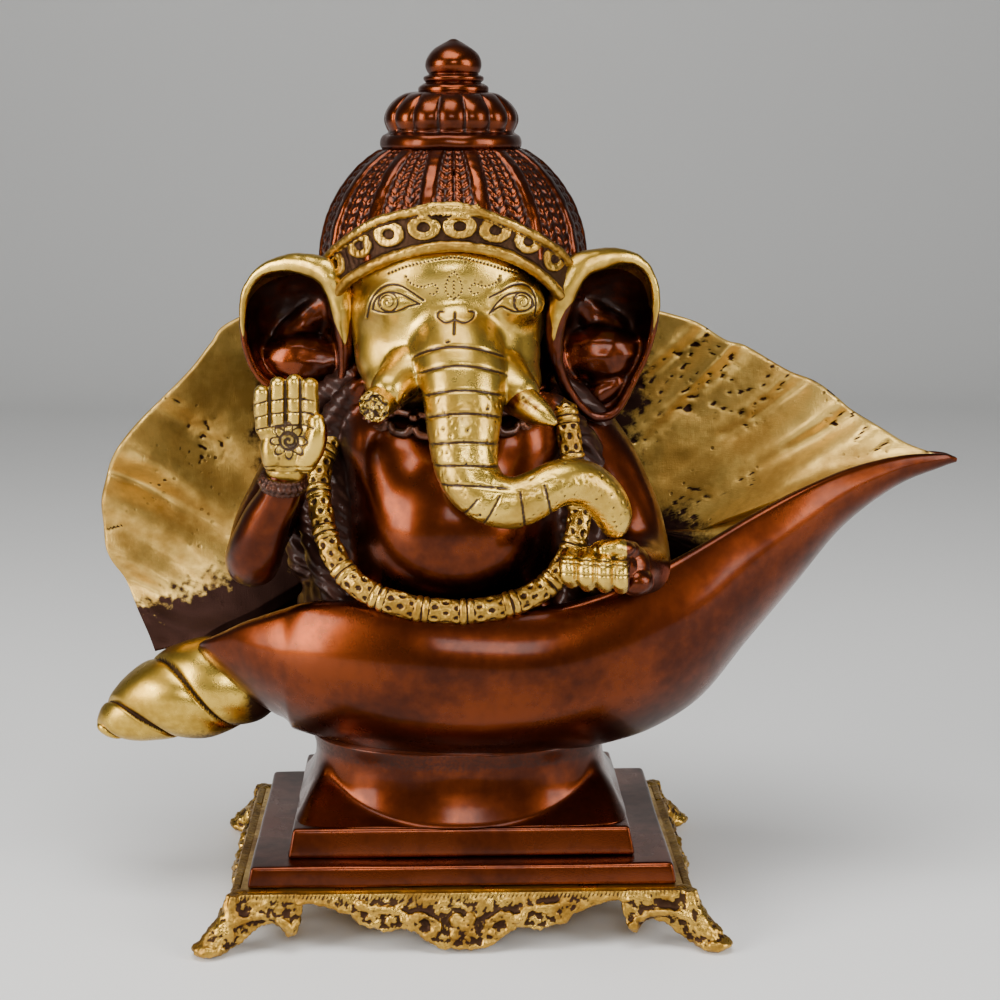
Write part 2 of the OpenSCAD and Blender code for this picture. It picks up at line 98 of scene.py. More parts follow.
# melts overlapping clay into one skin and rubs it down
def melt(bm, voxel, rubs=6, rubbing=0.5):
    clay = bpy.data.meshes.new("clay")
    bm.to_mesh(clay)
    bm.free()
    lump = bpy.data.objects.new("clay", clay)
    bpy.context.collection.objects.link(lump)
    skin = lump.modifiers.new("skin", "REMESH")
    skin.mode = "VOXEL"
    skin.voxel_size = voxel
    if rubs:
        soften = lump.modifiers.new("soften", "SMOOTH")
        soften.factor = rubbing
        soften.iterations = rubs
    made = bpy.data.meshes.new_from_object(lump.evaluated_get(bpy.context.evaluated_depsgraph_get()))
    bpy.data.objects.remove(lump)
    bpy.data.meshes.remove(clay)
    return made


# a sheet of columns by rows, whose points a formula of u and v puts in place
def formSheet(columns, rows, place, fill=True):
    bm = bmesh.new()
    bmesh.ops.create_grid(bm, x_segments=columns, y_segments=rows, size=0.5)
    uv = np.array([(v.co.x + 0.5, v.co.y + 0.5) for v in bm.verts])
    for vert, where in zip(bm.verts, place(uv[:, 0], uv[:, 1])):
        vert.co = where
    bmesh.ops.remove_doubles(bm, verts=bm.verts, dist=0.002)
    if fill:
        bmesh.ops.holes_fill(bm, edges=bm.edges, sides=0)
    bmesh.ops.recalc_face_normals(bm, faces=bm.faces)
    return bm


def toMesh(shape):
    if isinstance(shape, bpy.types.Mesh):
        return shape
    made = bpy.data.meshes.new("shape")
    shape.to_mesh(made)
    shape.free()
    return made


def readPoints(mesh):
    values = np.empty(len(mesh.vertices) * 3)
    mesh.vertices.foreach_get("co", values)
    return values.reshape(-1, 3)


def readNormals(mesh):
    values = np.empty(len(mesh.vertices) * 3)
    mesh.vertices.foreach_get("normal", values)
    return values.reshape(-1, 3)


def movePoints(mesh, points):
    mesh.vertices.foreach_set("co", np.ascontiguousarray(points).ravel())
    mesh.update()


# pushes the skin out or in along its own normals
def press(mesh, heights):
    movePoints(mesh, readPoints(mesh) + readNormals(mesh) * heights[:, None])


def paint(mesh, name, values):
    layer = mesh.attributes.get(name) or mesh.attributes.new(name, "FLOAT", "POINT")
    layer.data.foreach_set("value", np.clip(values, 0, 1).astype(np.float32))


# where the points would lie after being rubbed down many times over
def relax(mesh, rounds):
    soft = readPoints(mesh)
    ends = np.empty(len(mesh.edges) * 2, dtype=np.int32)
    mesh.edges.foreach_get("vertices", ends)
    a, b = ends[0::2], ends[1::2]
    count = len(soft)
    near = np.maximum(np.bincount(a, minlength=count) + np.bincount(b, minlength=count), 1)
    for _ in range(rounds):
        soft = np.stack([
            (np.bincount(a, soft[b, k], count) + np.bincount(b, soft[a, k], count)) / near for k in range(3)
        ], axis=-1)
    return soft


# how deep each point lies in a hollow, from 0 to 1, where patina collects
def findHollows(mesh, rounds, reach):
    depth = ((relax(mesh, rounds) - readPoints(mesh)) * readNormals(mesh)).sum(1)
    return np.clip(depth / reach, 0, 1)


# slow hand-made unevenness, in millimetres
def wobble(points, scale, height, seed=0):
    shift = Vector((seed * 7.3, seed * 3.1, seed * 5.7))
    return np.array([noise.noise(Vector(p) * scale + shift) for p in points]) * height


# distance of flat points from a drawn line
def lineDistance(flat, line):
    line = np.array(line, float)
    best = np.full(len(flat), 1e9)
    for a, b in zip(line, line[1:]):
        ab = b - a
        t = np.clip(((flat - a) @ ab) / max(ab @ ab, 1e-9), 0, 1)
        best = np.minimum(best, np.linalg.norm(flat - (a + t[:, None] * ab), axis=1))
    return best


def finishPiece(name, shape, material, nodes=(), finer=0):
    mesh = toMesh(shape)
    mesh.transform(toFrame)
    mesh.shade_smooth()
    mesh.materials.append(material)
    piece = bpy.data.objects.new(name, mesh)
    bpy.context.collection.objects.link(piece)
    if finer:
        detail = piece.modifiers.new("detail", "SUBSURF")
        detail.levels = finer
        detail.render_levels = finer
    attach(piece, "root")
    if nodes:
        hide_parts(*nodes)
    print("made", name, len(mesh.polygons), "faces")
    return piece


cameraSetup = {"place": (-7.5, -701.0, 273.0), "yaw": -1.8, "tilt": 79.6, "lens": 72.0, "sensor": 36.0}
lampSetup = [
    # name, place, aims at, width, height, watts, colour
    ("leftSoftbox", (-900, -520, 420), (0, 0, 140), 450, 700, 14, (1.0, 0.97, 0.93)),
    ("rightSoftbox", (950, -560, 480), (0, 0, 140), 420, 700, 10, (1.0, 0.98, 0.95)),
    ("topSoftbox", (-80, -260, 1050), (0, 0, 120), 700, 500, 9, (1.0, 1.0, 1.0)),
    ("frontFill", (60, -1250, 620), (0, 0, 150), 500, 300, 6, (1.0, 1.0, 1.0)),
]


def makeCamera(setup):
    data = bpy.data.cameras.new("camera")
    data.lens = setup["lens"]
    data.sensor_width = setup["sensor"]
    data.clip_start = 0.01
    camera = bpy.data.objects.new("camera", data)
    camera.location = toFrame @ Vector(setup["place"])
    camera.rotation_euler = (math.radians(setup["tilt"]), 0, math.radians(setup["yaw"]))
    bpy.context.collection.objects.link(camera)
    bpy.context.scene.camera = camera


def makeLamp(name, place, aim, width, height, watts, colour):
    data = bpy.data.lights.new(name, "AREA")
    data.shape = "RECTANGLE"
    data.size = width / 1000
    data.size_y = height / 1000
    data.energy = watts
    data.color = colour
    lamp = bpy.data.objects.new(name, data)
    lamp.location = toFrame @ Vector(place)
    lamp.rotation_euler = (toFrame @ Vector(aim) - lamp.location).to_track_quat("-Z", "Y").to_euler()
    bpy.context.collection.objects.link(lamp)


# metres, as the floor isn't part of the idol
floorSetup = {"size": 6.0, "backdrop": 1.3, "rise": 0.6, "height": 2.4}


# a sheet of paper on the floor that curves up behind
def makeFloor():
    bm = bmesh.new()
    half = floorSetup["size"] / 2
    bmesh.ops.create_grid(bm, x_segments=1, y_segments=1, size=half)
    bmesh.ops.translate(bm, vec=(0, floorSetup["backdrop"] - half, -0.0003), verts=bm.verts)
    backEdge = [e for e in bm.edges if all(v.co.y > floorSetup["backdrop"] - 0.001 for v in e.verts)]
    radius = floorSetup["rise"]
    bmesh.ops.spin(bm, geom=backEdge + list({v for e in backEdge for v in e.verts}), axis=(1, 0, 0),
                   cent=(0, floorSetup["backdrop"], radius), dvec=(0, 0, 0), angle=math.radians(90), steps=16)
    top = [e for e in bm.edges if all(v.co.z > radius - 0.01 for v in e.verts)]
    grown = bmesh.ops.extrude_edge_only(bm, edges=top)["geom"]
    bmesh.ops.translate(bm, vec=(0, 0, floorSetup["height"]),
                        verts=[g for g in grown if isinstance(g, bmesh.types.BMVert)])
    mesh = bpy.data.meshes.new("floor")
    bm.to_mesh(mesh)
    bm.free()
    mesh.shade_smooth()
    floor = bpy.data.objects.new("floor", mesh)
    bpy.context.collection.objects.link(floor)
    paper = bpy.data.materials.new("studioPaper")
    paper.use_nodes = True
    shader = paper.node_tree.nodes["Principled BSDF"]
    shader.inputs["Base Color"].default_value = (0.8, 0.8, 0.79, 1)
    shader.inputs["Roughness"].default_value = 0.6
    mesh.materials.append(paper)


makeCamera(cameraSetup)
for lamp in lampSetup:
    makeLamp(*lamp)
makeFloor()
world = bpy.data.worlds.new("studio")
world.use_nodes = True
world.node_tree.nodes["Background"].inputs["Color"].default_value = (0.75, 0.78, 0.8, 1)
world.node_tree.nodes["Background"].inputs["Strength"].default_value = 0.17
bpy.context.scene.world = world
print("studio ready")

goldLook = {"bright": (0.72, 0.47, 0.078), "deep": (0.38, 0.22, 0.028), "smooth": 0.23, "rough": 0.36}
satinLook = {"bright": (0.80, 0.52, 0.125), "deep": (0.36, 0.195, 0.034), "smooth": 0.3, "rough": 0.5}
brownLook = {"bright": (0.145, 0.027, 0.0042), "deep": (0.048, 0.0082, 0.0016), "smooth": 0.24, "rough": 0.36}
frameLook = {"bright": (0.60, 0.36, 0.065), "deep": (0.27, 0.135, 0.02), "smooth": 0.24, "rough": 0.42}
darkLook = {"bright": (0.13, 0.045, 0.022), "deep": (0.04, 0.014, 0.008), "smooth": 0.25, "rough": 0.5}
# the dark colour for patina in hollows and for painted shade
patinaAndShadeColour = (0.026, 0.009, 0.0055)


class Nodes:
    def __init__(self, name):
        self.material = bpy.data.materials.new(name)
        self.material.use_nodes = True
        self.tree = self.material.node_tree
        self.shader = self.tree.nodes["Principled BSDF"]
        coords = self.tree.nodes.new("ShaderNodeTexCoord")
        self.place = coords.outputs["Object"]

    def add(self, kind, inputs=None, **settings):
        node = self.tree.nodes.new(kind)
        for key, value in settings.items():
            setattr(node, key, value)
        for key, value in (inputs or {}).items():
            if isinstance(value, bpy.types.NodeSocket):
                self.tree.links.new(value, node.inputs[key])
            else:
                node.inputs[key].default_value = value
        return node

    def noise(self, scale, detail=3.0, stretch=None):
        place = self.place
        if stretch:
            place = self.add("ShaderNodeMapping", {"Vector": place, "Scale": stretch}).outputs[0]
        return self.add("ShaderNodeTexNoise",
                        {"Vector": place, "Scale": scale, "Detail": detail}).outputs["Fac"]

    def maths(self, operation, a, b=0.0, c=0.0):
        return self.add("ShaderNodeMath", {0: a, 1: b, 2: c}, operation=operation).outputs[0]

    def remap(self, value, low, high, toLow=0.0, toHigh=1.0):
        inputs = {"Value": value, "From Min": low, "From Max": high, "To Min": toLow, "To Max": toHigh}
        return self.add("ShaderNodeMapRange", inputs, interpolation_type="SMOOTHSTEP").outputs["Result"]

    def mixColour(self, factor, a, b):
        node = self.add("ShaderNodeMix", {"Factor": factor}, data_type="RGBA")
        for socket, value in ((node.inputs[6], a), (node.inputs[7], b)):
            if isinstance(value, bpy.types.NodeSocket):
                self.tree.links.new(value, socket)
            else:
                socket.default_value = (*value, 1)
        return node.outputs[2]

    def mixValue(self, factor, a, b):
        node = self.add("ShaderNodeMix", {"Factor": factor}, data_type="FLOAT")
        for socket, value in ((node.inputs[2], a), (node.inputs[3], b)):
            if isinstance(value, bpy.types.NodeSocket):
                self.tree.links.new(value, socket)
            else:
                socket.default_value = value
        return node.outputs[0]

    def read(self, name):
        return self.add("ShaderNodeAttribute", attribute_name=name).outputs["Fac"]

    def plug(self, name, socket):
        self.tree.links.new(socket, self.shader.inputs[name])


# cast metal with dark patina in its hollows plus painted shade; where a second look is given, the painted
# gilt mask chooses
def castMetal(name, look, other=None, brush=0.0, pits=0.0, grain=0.0, coat=0.0, blotch=45.0, patinaAndShadeStrength=0.97,
              metal=1.0):
    n = Nodes(name)
    cloud = n.noise(blotch, 5.0)
    fine = n.noise(blotch * 9, 3.0)
    tone = n.remap(n.maths("ADD", n.maths("MULTIPLY", cloud, 0.75), n.maths("MULTIPLY", fine, 0.25)), 0.35,
                   0.65)
    colour = n.mixColour(tone, look["deep"], look["bright"])
    gloss = n.mixValue(tone, look["rough"], look["smooth"])
    if other:
        gilt = n.remap(n.maths("ADD", n.read("gilt"),
                               n.maths("MULTIPLY", n.maths("SUBTRACT", fine, 0.5), 0.35)), 0.4, 0.6)
        colour = n.mixColour(gilt, n.mixColour(tone, other["deep"], other["bright"]), colour)
        gloss = n.mixValue(gilt, n.mixValue(tone, other["rough"], other["smooth"]), gloss)
    speck = n.noise(900.0, 4.0)
    darkening = n.maths("ADD", n.read("patinaAndShade"), n.maths("MULTIPLY", n.maths("SUBTRACT", speck, 0.5), 0.55))
    patinaAndShade = n.maths("MULTIPLY", n.remap(darkening, 0.25, 0.75), patinaAndShadeStrength)
    height = n.maths("MULTIPLY", n.noise(2400.0, 3.0), grain)
    if pits:
        holes = n.add("ShaderNodeTexVoronoi", {"Vector": n.place, "Scale": 330.0, "Randomness": 1.0})
        where = n.remap(n.noise(70.0, 3.0), 0.56, 0.7)
        pit = n.maths("MULTIPLY", n.remap(holes.outputs["Distance"], 0.16, 0.3, 1.0, 0.0), where)
        height = n.maths("SUBTRACT", height, n.maths("MULTIPLY", pit, pits))
        patinaAndShade = n.maths("MAXIMUM", patinaAndShade, n.maths("MULTIPLY", pit, 0.85))
    if brush:
        strokes = n.noise(260.0, 2.0, stretch=(1.0, 1.0, 9.0))
        crossing = n.noise(260.0, 2.0, stretch=(9.0, 1.0, 1.2))
        rub = n.maths("ADD", strokes, crossing)
        height = n.maths("ADD", height, n.maths("MULTIPLY", rub, brush))
    # the patina-and-shade mask mixes in the dark colour: real patina in hollows, and painted shade where
    # masks put it
    n.plug("Base Color", n.mixColour(patinaAndShade, colour, patinaAndShadeColour))
    n.plug("Roughness", n.mixValue(patinaAndShade, gloss, 0.55))
    n.plug("Metallic", n.mixValue(patinaAndShade, metal, 0.88))
    bump = n.add("ShaderNodeBump", {"Strength": 1.0, "Distance": 0.0004, "Height": height})
    n.plug("Normal", bump.outputs["Normal"])
    n.shader.inputs["Coat Weight"].default_value = coat
    n.shader.inputs["Coat Roughness"].default_value = 0.14
    n.shader.inputs["Coat IOR"].default_value = 1.5
    return n.material


polishedBrass = castMetal("polishedBrass", goldLook, pits=0.25, grain=0.12, brush=0.05)
satinBrass = castMetal("satinBrass", satinLook, brownLook, pits=0.5, grain=0.15, brush=0.16, blotch=30.0,
                       patinaAndShadeStrength=1.0, metal=0.8)
frameBrass = castMetal("frameBrass", frameLook, pits=0.4, grain=0.2, blotch=80.0)
brownPatina = castMetal("brownPatina", brownLook, coat=0.2, grain=0.08, blotch=26.0)
brassAndBrown = castMetal("brassAndBrown", goldLook, brownLook, pits=0.2, grain=0.15, brush=0.05, coat=0.25)
darkPatina = castMetal("darkPatina", darkLook, grain=0.5, coat=0.3)
steel = castMetal("steel",
                  {"bright": (0.6, 0.6, 0.61), "deep": (0.4, 0.4, 0.42), "smooth": 0.25, "rough": 0.4},
                  grain=0.2)
print("metals mixed")

stepSetup = {"bevel": 1.3, "cuts": 26, "wobble": 0.35}


# a hand-finished step: the CAD block with its arrises rubbed round
def makeStep(name, node, taper, seed):
    low, high = nodeBox(node)
    bm = bmesh.new()
    middle = (low + high) / 2
    block(bm, middle, high - low)
    for v in bm.verts:
        if v.co.z > middle.z:
            v.co.x = middle.x + (v.co.x - middle.x) * (1 - taper)
            v.co.y = middle.y + (v.co.y - middle.y) * (1 - taper * 1.3)
    bmesh.ops.bevel(bm, geom=bm.edges, offset=stepSetup["bevel"], segments=4, profile=0.5, affect="EDGES",
                    material=-1)
    longEdges = [e for e in bm.edges if e.calc_length() > 20]
    bmesh.ops.subdivide_edges(bm, edges=longEdges, cuts=stepSetup["cuts"], use_grid_fill=True)
    mesh = toMesh(bm)
    press(mesh, wobble(readPoints(mesh), 0.035, stepSetup["wobble"], seed))
    paint(mesh, "patinaAndShade", findHollows(mesh, 6, 0.3))
    finishPiece(name, mesh, brownPatina, [node], finer=1)


makeStep("plinthLower", "plinth_lower", 0.018, 1)
makeStep("plinthUpper", "plinth_upper", 0.03, 2)

neckSetup = {
    # height share, then the round cone's width and depth, then the square foot's width and depth
    "profile": [(0.0, 112, 86.8, 117, 86), (0.12, 110, 84.5, 113.5, 75), (0.3, 107.5, 81.5, 108.5, 60),
                (0.5, 105.5, 79, 101, 46), (0.75, 104.5, 77.5, 92, 40), (1.0, 108, 80, 88, 38)],
    "top": 62.0, "corner": 9.0, "cone": 2.2,
}


# a round cone standing in a square foot whose sloping corners die into it
def makeNeck():
    low = nodeBox("pedestal_neck")[0]
    profile = smoothPath(neckSetup["profile"], 6)

    def reach(c, s, width, depth, power):
        return (np.abs(c / (width / 2)) ** power + np.abs(s / (depth / 2)) ** power) ** (-1 / power)

    def place(u, v):
        row = readPath(profile, v)
        angle = u * 2 * math.pi
        c, s = np.cos(angle) * 1.3, np.sin(angle)
        cone = reach(c, s, row[:, 1], row[:, 2], neckSetup["cone"])
        foot = reach(c, s, row[:, 3], row[:, 4], neckSetup["corner"])
        # the two meet in a soft crease
        radius = np.logaddexp(cone * 1.1, foot * 1.1) / 1.1 - 0.3
        z = low.z + 0.05 + row[:, 0] * (neckSetup["top"] - low.z)
        return np.stack([radius * c, radius * s, z], axis=-1)

    mesh = toMesh(formSheet(260, 60, place))
    press(mesh, wobble(readPoints(mesh), 0.05, 0.6, 3))
    points = readPoints(mesh)
    # the top of the neck, under the shell, is darkened as painted shade, over the patina in its hollows
    paint(mesh, "patinaAndShade", np.maximum(np.clip((points[:, 2] - 53) / 8, 0, 0.5),
                                    findHollows(mesh, 14, 0.8) * 0.5))
    finishPiece("pedestalNeck", mesh, brownPatina, ["pedestal_neck"])


makeNeck()
print("plinth done")

frameSetup = {
    "lean": -14.0, "corner": (78.5, 59.0), "top": 20.0,
    # half of the apron's outline, as share of the half length and share of the drop
    "apron": [(1.0, 0.0), (1.0, 0.2), (0.93, 0.17), (0.84, 0.2), (0.75, 0.3), (0.67, 0.38), (0.62, 0.54),
              (0.54, 0.6), (0.47, 0.68), (0.38, 0.63), (0.31, 0.62), (0.26, 0.74), (0.2, 0.88),
              (0.13, 0.97), (0.05, 1.0)],
    "drop": 19.0, "thick": 3.0,
    # the foot's bracket seen square on: distance from the corner, height
    "bracket": [(-1.5, 20.2), (23.2, 20.2), (24.2, 15.5), (23.4, 9.5), (21.6, 6), (19.2, 5.4), (17.4, 8.4),
                (14.5, 10.2), (10, 9.2), (5.5, 5.5), (1, 1.8), (-4, 3)],
}


def flatPlate(bm, outline, thick, matrix):
    verts = [bm.verts.new((x, 0, z)) for x, z in outline]
    face = bm.faces.new(verts)
    grown = bmesh.ops.extrude_face_region(bm, geom=[face])["geom"]
    raised = [g for g in grown if isinstance(g, bmesh.types.BMVert)]
    bmesh.ops.translate(bm, vec=(0, thick, 0), verts=raised)
    bmesh.ops.transform(bm, matrix=matrix, verts=verts + raised)
    bmesh.ops.recalc_face_normals(bm, faces=bm.faces)


# worn cast ornament: lumps and dark hollows, with fine chasing along the upper edge
def roughCast(mesh, seed, chaseFrom, darkening=0.08):
    points = readPoints(mesh)
    lumps = (wobble(points, 0.22, 0.8, seed) + wobble(points, 0.55, 0.7, seed + 1)
             + wobble(points, 1.3, 0.4, seed + 2))
    band = np.clip((points[:, 2] - chaseFrom) / 1.2, 0, 1)
    along = points[:, 0] + points[:, 1]
    chase = (0.5 + 0.5 * np.sin((along + (20 - points[:, 2]) * 0.5) * 4.6)) * band
    press(mesh, lumps * (0.75 - 0.6 * band) - chase * 0.2)
    patinaAndShade = (findHollows(mesh, 14, 0.5) * 1.5 + np.clip(0.1 - lumps * 0.55, -0.2, 0.55) * (1 - band)
             + chase * 0.5 + darkening)
    inside = np.clip(np.abs(readNormals(mesh)[:, 2]) * 2 - 1.2, 0, 1) * 0.4
    paint(mesh, "patinaAndShade", np.maximum(patinaAndShade, inside))


def makeAprons():
    corner, drop = frameSetup["corner"], frameSetup["drop"]
    sides = [("apronFront", "apron_front", corner[0] - 23, corner[1], 0),
             ("apronBack", "apron_back", corner[0] - 23, corner[1], 180),
             ("apronLeft", "apron_left", corner[1] - 23, corner[0], -90),
             ("apronRight", "apron_right", corner[1] - 23, corner[0], 90)]
    for index, (name, node, half, away, angle) in enumerate(sides):
        bm = bmesh.new()
        right = [(x * (half + 1.0), -z * drop) for x, z in frameSetup["apron"]]
        outline = right + [(-x, z) for x, z in reversed(right)]
        flatPlate(bm, outline, frameSetup["thick"], Matrix.Identity(4))
        # a bead along the lower edge, a four-petalled flower, and leaf scrolls to either side
        for sign in (1, -1):
            edge = [(sign * x * half, 0.3, -z * drop + 0.7, 0.9) for x, z in frameSetup["apron"][1:]]
            roll(bm, edge, steps=5, detail=2)
            k = half / 55
            leaf = [(sign * 8 * k, -0.2, -11, 1.6), (sign * 13 * k, -0.4, -7.6, 1.7),
                    (sign * 19 * k, -0.3, -8.6, 1.9), (sign * 22 * k, -0.2, -5.6, 1.6),
                    (sign * 29 * k, -0.2, -5.4, 1.8), (sign * 35 * k, 0, -3.6, 1.4)]
            roll(bm, leaf, steps=6, detail=2)
            for x, z, r in ((10.5, -13.5, 1.8), (16, -11, 1.7), (24, -9, 1.6), (31, -7.4, 1.5)):
                ball(bm, (sign * x * k, 0, z), (r * 1.5, r * 0.8, r), turn=(0, sign * 25, 0), detail=2)
        for a in range(4):
            turn = math.radians(45 + 90 * a)
            ball(bm, (3.0 * math.cos(turn), -0.5, -11.2 + 3.0 * math.sin(turn)), (2.5, 1.3, 2.5), detail=3)
        ball(bm, (0, -1.1, -11.2), (1.5, 1.2, 1.5), detail=3)
        mesh = melt(bm, 0.5, rubs=4)
        roughCast(mesh, 50 + index, -2.6)
        lean = Matrix.Rotation(math.radians(frameSetup["lean"]), 4, "X")
        turn = Matrix.Rotation(math.radians(angle), 4, "Z")
        mesh.transform(turn @ Matrix.Translation((0, -away, frameSetup["top"])) @ lean)
        finishPiece(name, mesh, frameBrass, [node])


makeAprons()


def makeFeet():
    cx, cy = frameSetup["corner"]
    corners = [("foot_front_left", -1, -1), ("foot_front_right", 1, -1), ("foot_back_left", -1, 1),
               ("foot_back_right", 1, 1)]
    for index, (name, sx, sy) in enumerate(corners):
        bm = bmesh.new()
        lean = Matrix.Rotation(math.radians(frameSetup["lean"] * 0.6), 4, "X")
        down = [(x, z - 20) for x, z in frameSetup["bracket"]]
        # one bracket on each side of the corner, drawn for the +X +Y corner and then mirrored
        place = Matrix.Translation((cx, cy, 20)) @ Matrix.Rotation(math.pi, 4, "Z") @ lean
        flatPlate(bm, down, 3.0, place)
        place = Matrix.Translation((cx, cy, 20)) @ Matrix.Rotation(math.pi / 2, 4, "Z") @ lean
        flatPlate(bm, [(-x, z) for x, z in down], 3.0, place)
        roll(bm, [(cx - 3.5, cy - 3.5, 16.5, 4.2), (cx - 0.5, cy - 1.5, 11, 4.6),
                  (cx + 3, cy + 0.6, 6.6, 4.8), (cx + 6, cy + 2, 4.3, 4.2)], steps=8, detail=3)
        ball(bm, (cx + 6.3, cy + 2.6, 2.6), (7, 5.6, 2.7), turn=(0, 0, 25), detail=3)
        # a scroll curls up each bracket from the foot
        roll(bm, [(cx + 4, cy + 3.4, 7, 1.5), (cx - 3, cy + 2.4, 11.5, 1.4), (cx - 10, cy + 1.6, 13, 1.3),
                  (cx - 17, cy + 1.4, 11.5, 1.5), (cx - 20.6, cy + 2, 8.6, 1.7)], steps=6, detail=2)
        roll(bm, [(cx + 5, cy + 1.5, 7, 1.5), (cx + 3.4, cy - 4, 11.5, 1.4), (cx + 2, cy - 10, 13, 1.3),
                  (cx + 1.6, cy - 17, 11.5, 1.5), (cx + 2, cy - 20.6, 8.6, 1.7)], steps=6, detail=2)
        mesh = melt(bm, 0.55, rubs=5)
        mesh.transform(Matrix.Diagonal((sx, sy, 1, 1)))
        if sx * sy < 0:
            mesh.flip_normals()
        roughCast(mesh, 60 + index * 3, 17.8, 0.18)
        points = readPoints(mesh)
        points[:, 2] = np.maximum(points[:, 2], 0.02)
        movePoints(mesh, points)
        finishPiece(name, mesh, frameBrass, [name])


makeFeet()
for node, metal in (("frame_plate", frameBrass), ("tie_rod", steel), ("tie_washer", steel),
                    ("tie_nut", steel)):
    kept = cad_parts[node]
    kept.data.materials.clear()
    kept.data.materials.append(metal)
print("frame done")

conchSetup = {
    # x, lowest z, rim z, half depth, lip thickness
    "stations": [
        (-89, 77, 91, 8.5, 4), (-84, 71, 95, 17.5, 6), (-77, 67, 99.5, 25, 7.5), (-68, 65, 105.5, 33, 8.5),
        (-50, 59.5, 113.5, 44, 9), (-22, 53.5, 115, 54, 9), (4, 51.5, 114, 57, 9), (30, 53.5, 114.5, 56, 9),
        (54, 57.5, 120, 51, 9), (70, 62.5, 126.5, 45, 9), (86, 73, 134, 38, 8), (102, 92, 141.5, 30, 7),
        (120, 114, 149.5, 22, 6), (137, 134, 155.5, 14.5, 5), (156, 148.5, 159.5, 8, 3.5),
        (172, 155, 160.2, 3.6, 2), (178, 157, 158.8, 1.0, 0.8),
    ],
    "rimAngle": 118.0, "backThickness": 3.0,
}


def makeConch():
    curve = smoothPath(conchSetup["stations"], 8)
    rim = math.radians(conchSetup["rimAngle"])

    def place(u, v):
        row = readPath(curve, u)
        x, low, top, depth, lip = row.T
        rz = (top - low) / (1 - math.cos(rim))
        zc = low + rz
        # the section runs round its outside from back rim to front rim, over the lip and back inside
        outer = np.clip(v / 0.44, 0, 1)
        frontCap = np.clip((v - 0.44) / 0.1, 0, 1)
        inner = np.clip((v - 0.54) / 0.4, 0, 1)
        backCap = np.clip((v - 0.94) / 0.06, 0, 1)
        angle = np.where(v < 0.49, -rim + 2 * rim * outer, rim - 2 * rim * inner)

        def wallPoint(angle, inset):
            return np.stack([-(depth - inset) * np.sin(angle), zc - (rz - inset) * np.cos(angle)], axis=-1)

        toFront = np.clip(angle / rim, -1, 1) * 0.5 + 0.5
        limit = np.minimum(depth, rz) * 0.75
        thickness = np.minimum(conchSetup["backThickness"]
                               + (lip - conchSetup["backThickness"]) * toFront ** 3, limit)
        where = wallPoint(angle, np.where(v < 0.49, 0, thickness))
        for cap, end in ((frontCap, rim), (backCap, -rim)):
            edge = np.minimum(lip if end > 0 else conchSetup["backThickness"], limit)
            insets = (0, edge) if end > 0 else (edge, 0)
            start, stop = (wallPoint(np.full_like(v, end), inset) for inset in insets)
            mid, half = (start + stop) / 2, (start - stop) / 2
            tangent = np.stack([-np.cos(end) * depth * np.sign(end), np.sin(abs(end)) * rz], axis=-1)
            tangent /= np.linalg.norm(tangent, axis=1)[:, None]
            radius = np.linalg.norm(half, axis=1)
            turn = cap * math.pi
            capPoint = mid + half * np.cos(turn)[:, None] + (tangent * (radius * np.sin(turn))[:, None])
            where = np.where(((cap > 0) & (cap < 1))[:, None], capPoint, where)
        slant = np.clip((-60 - x) / 26, 0, 1)
        x = x + slant * (zc - where[:, 1]) * 0.8
        return np.stack([x, where[:, 0], where[:, 1]], axis=-1)

    mesh = toMesh(formSheet(230, 150, place))
    points = readPoints(mesh)
    movePoints(mesh, points + readNormals(mesh) * wobble(points, 0.022, 0.8, 4)[:, None])
    mouth = np.array([0, 0, 118])
    inside = (readNormals(mesh) * (mouth - points)).sum(1) > 0
    # deep inside the mouth is darkened: painted shade
    mouthShade = np.clip((106 - points[:, 2]) / 14, 0, 1) * inside * (points[:, 0] < 100)
    # the far wall is darkened inside and along its rim: painted shade
    farWallShade = np.clip(points[:, 1] / 8, 0, 1) * np.clip((70 - points[:, 0]) / 15, 0, 1)
    farWallShade *= np.maximum(inside, np.clip(readNormals(mesh)[:, 2] * 4 - 3, 0, 1))
    paint(mesh, "patinaAndShade", np.maximum.reduce([findHollows(mesh, 8, 0.4), mouthShade, farWallShade]))
    finishPiece("conchBody", mesh, brownPatina, ["conch_body"])


makeConch()

spireSetup = {
    # x, y, z of the axis and the radius there
    "axis": [(-60, 2, 83, 8), (-72, 2, 80.5, 14.5), (-82, 2, 78, 17.2), (-95, 2, 75.2, 17.8),
             (-108, 1.5, 71.6, 15.4), (-119, 1, 66.6, 11), (-126.5, 0.5, 63, 6.6), (-130, 0, 61.6, 3),
             (-131, 0, 61.2, 0.02)],
    "turns": 2.2, "groove": 0.12, "lead": 2.95,
}


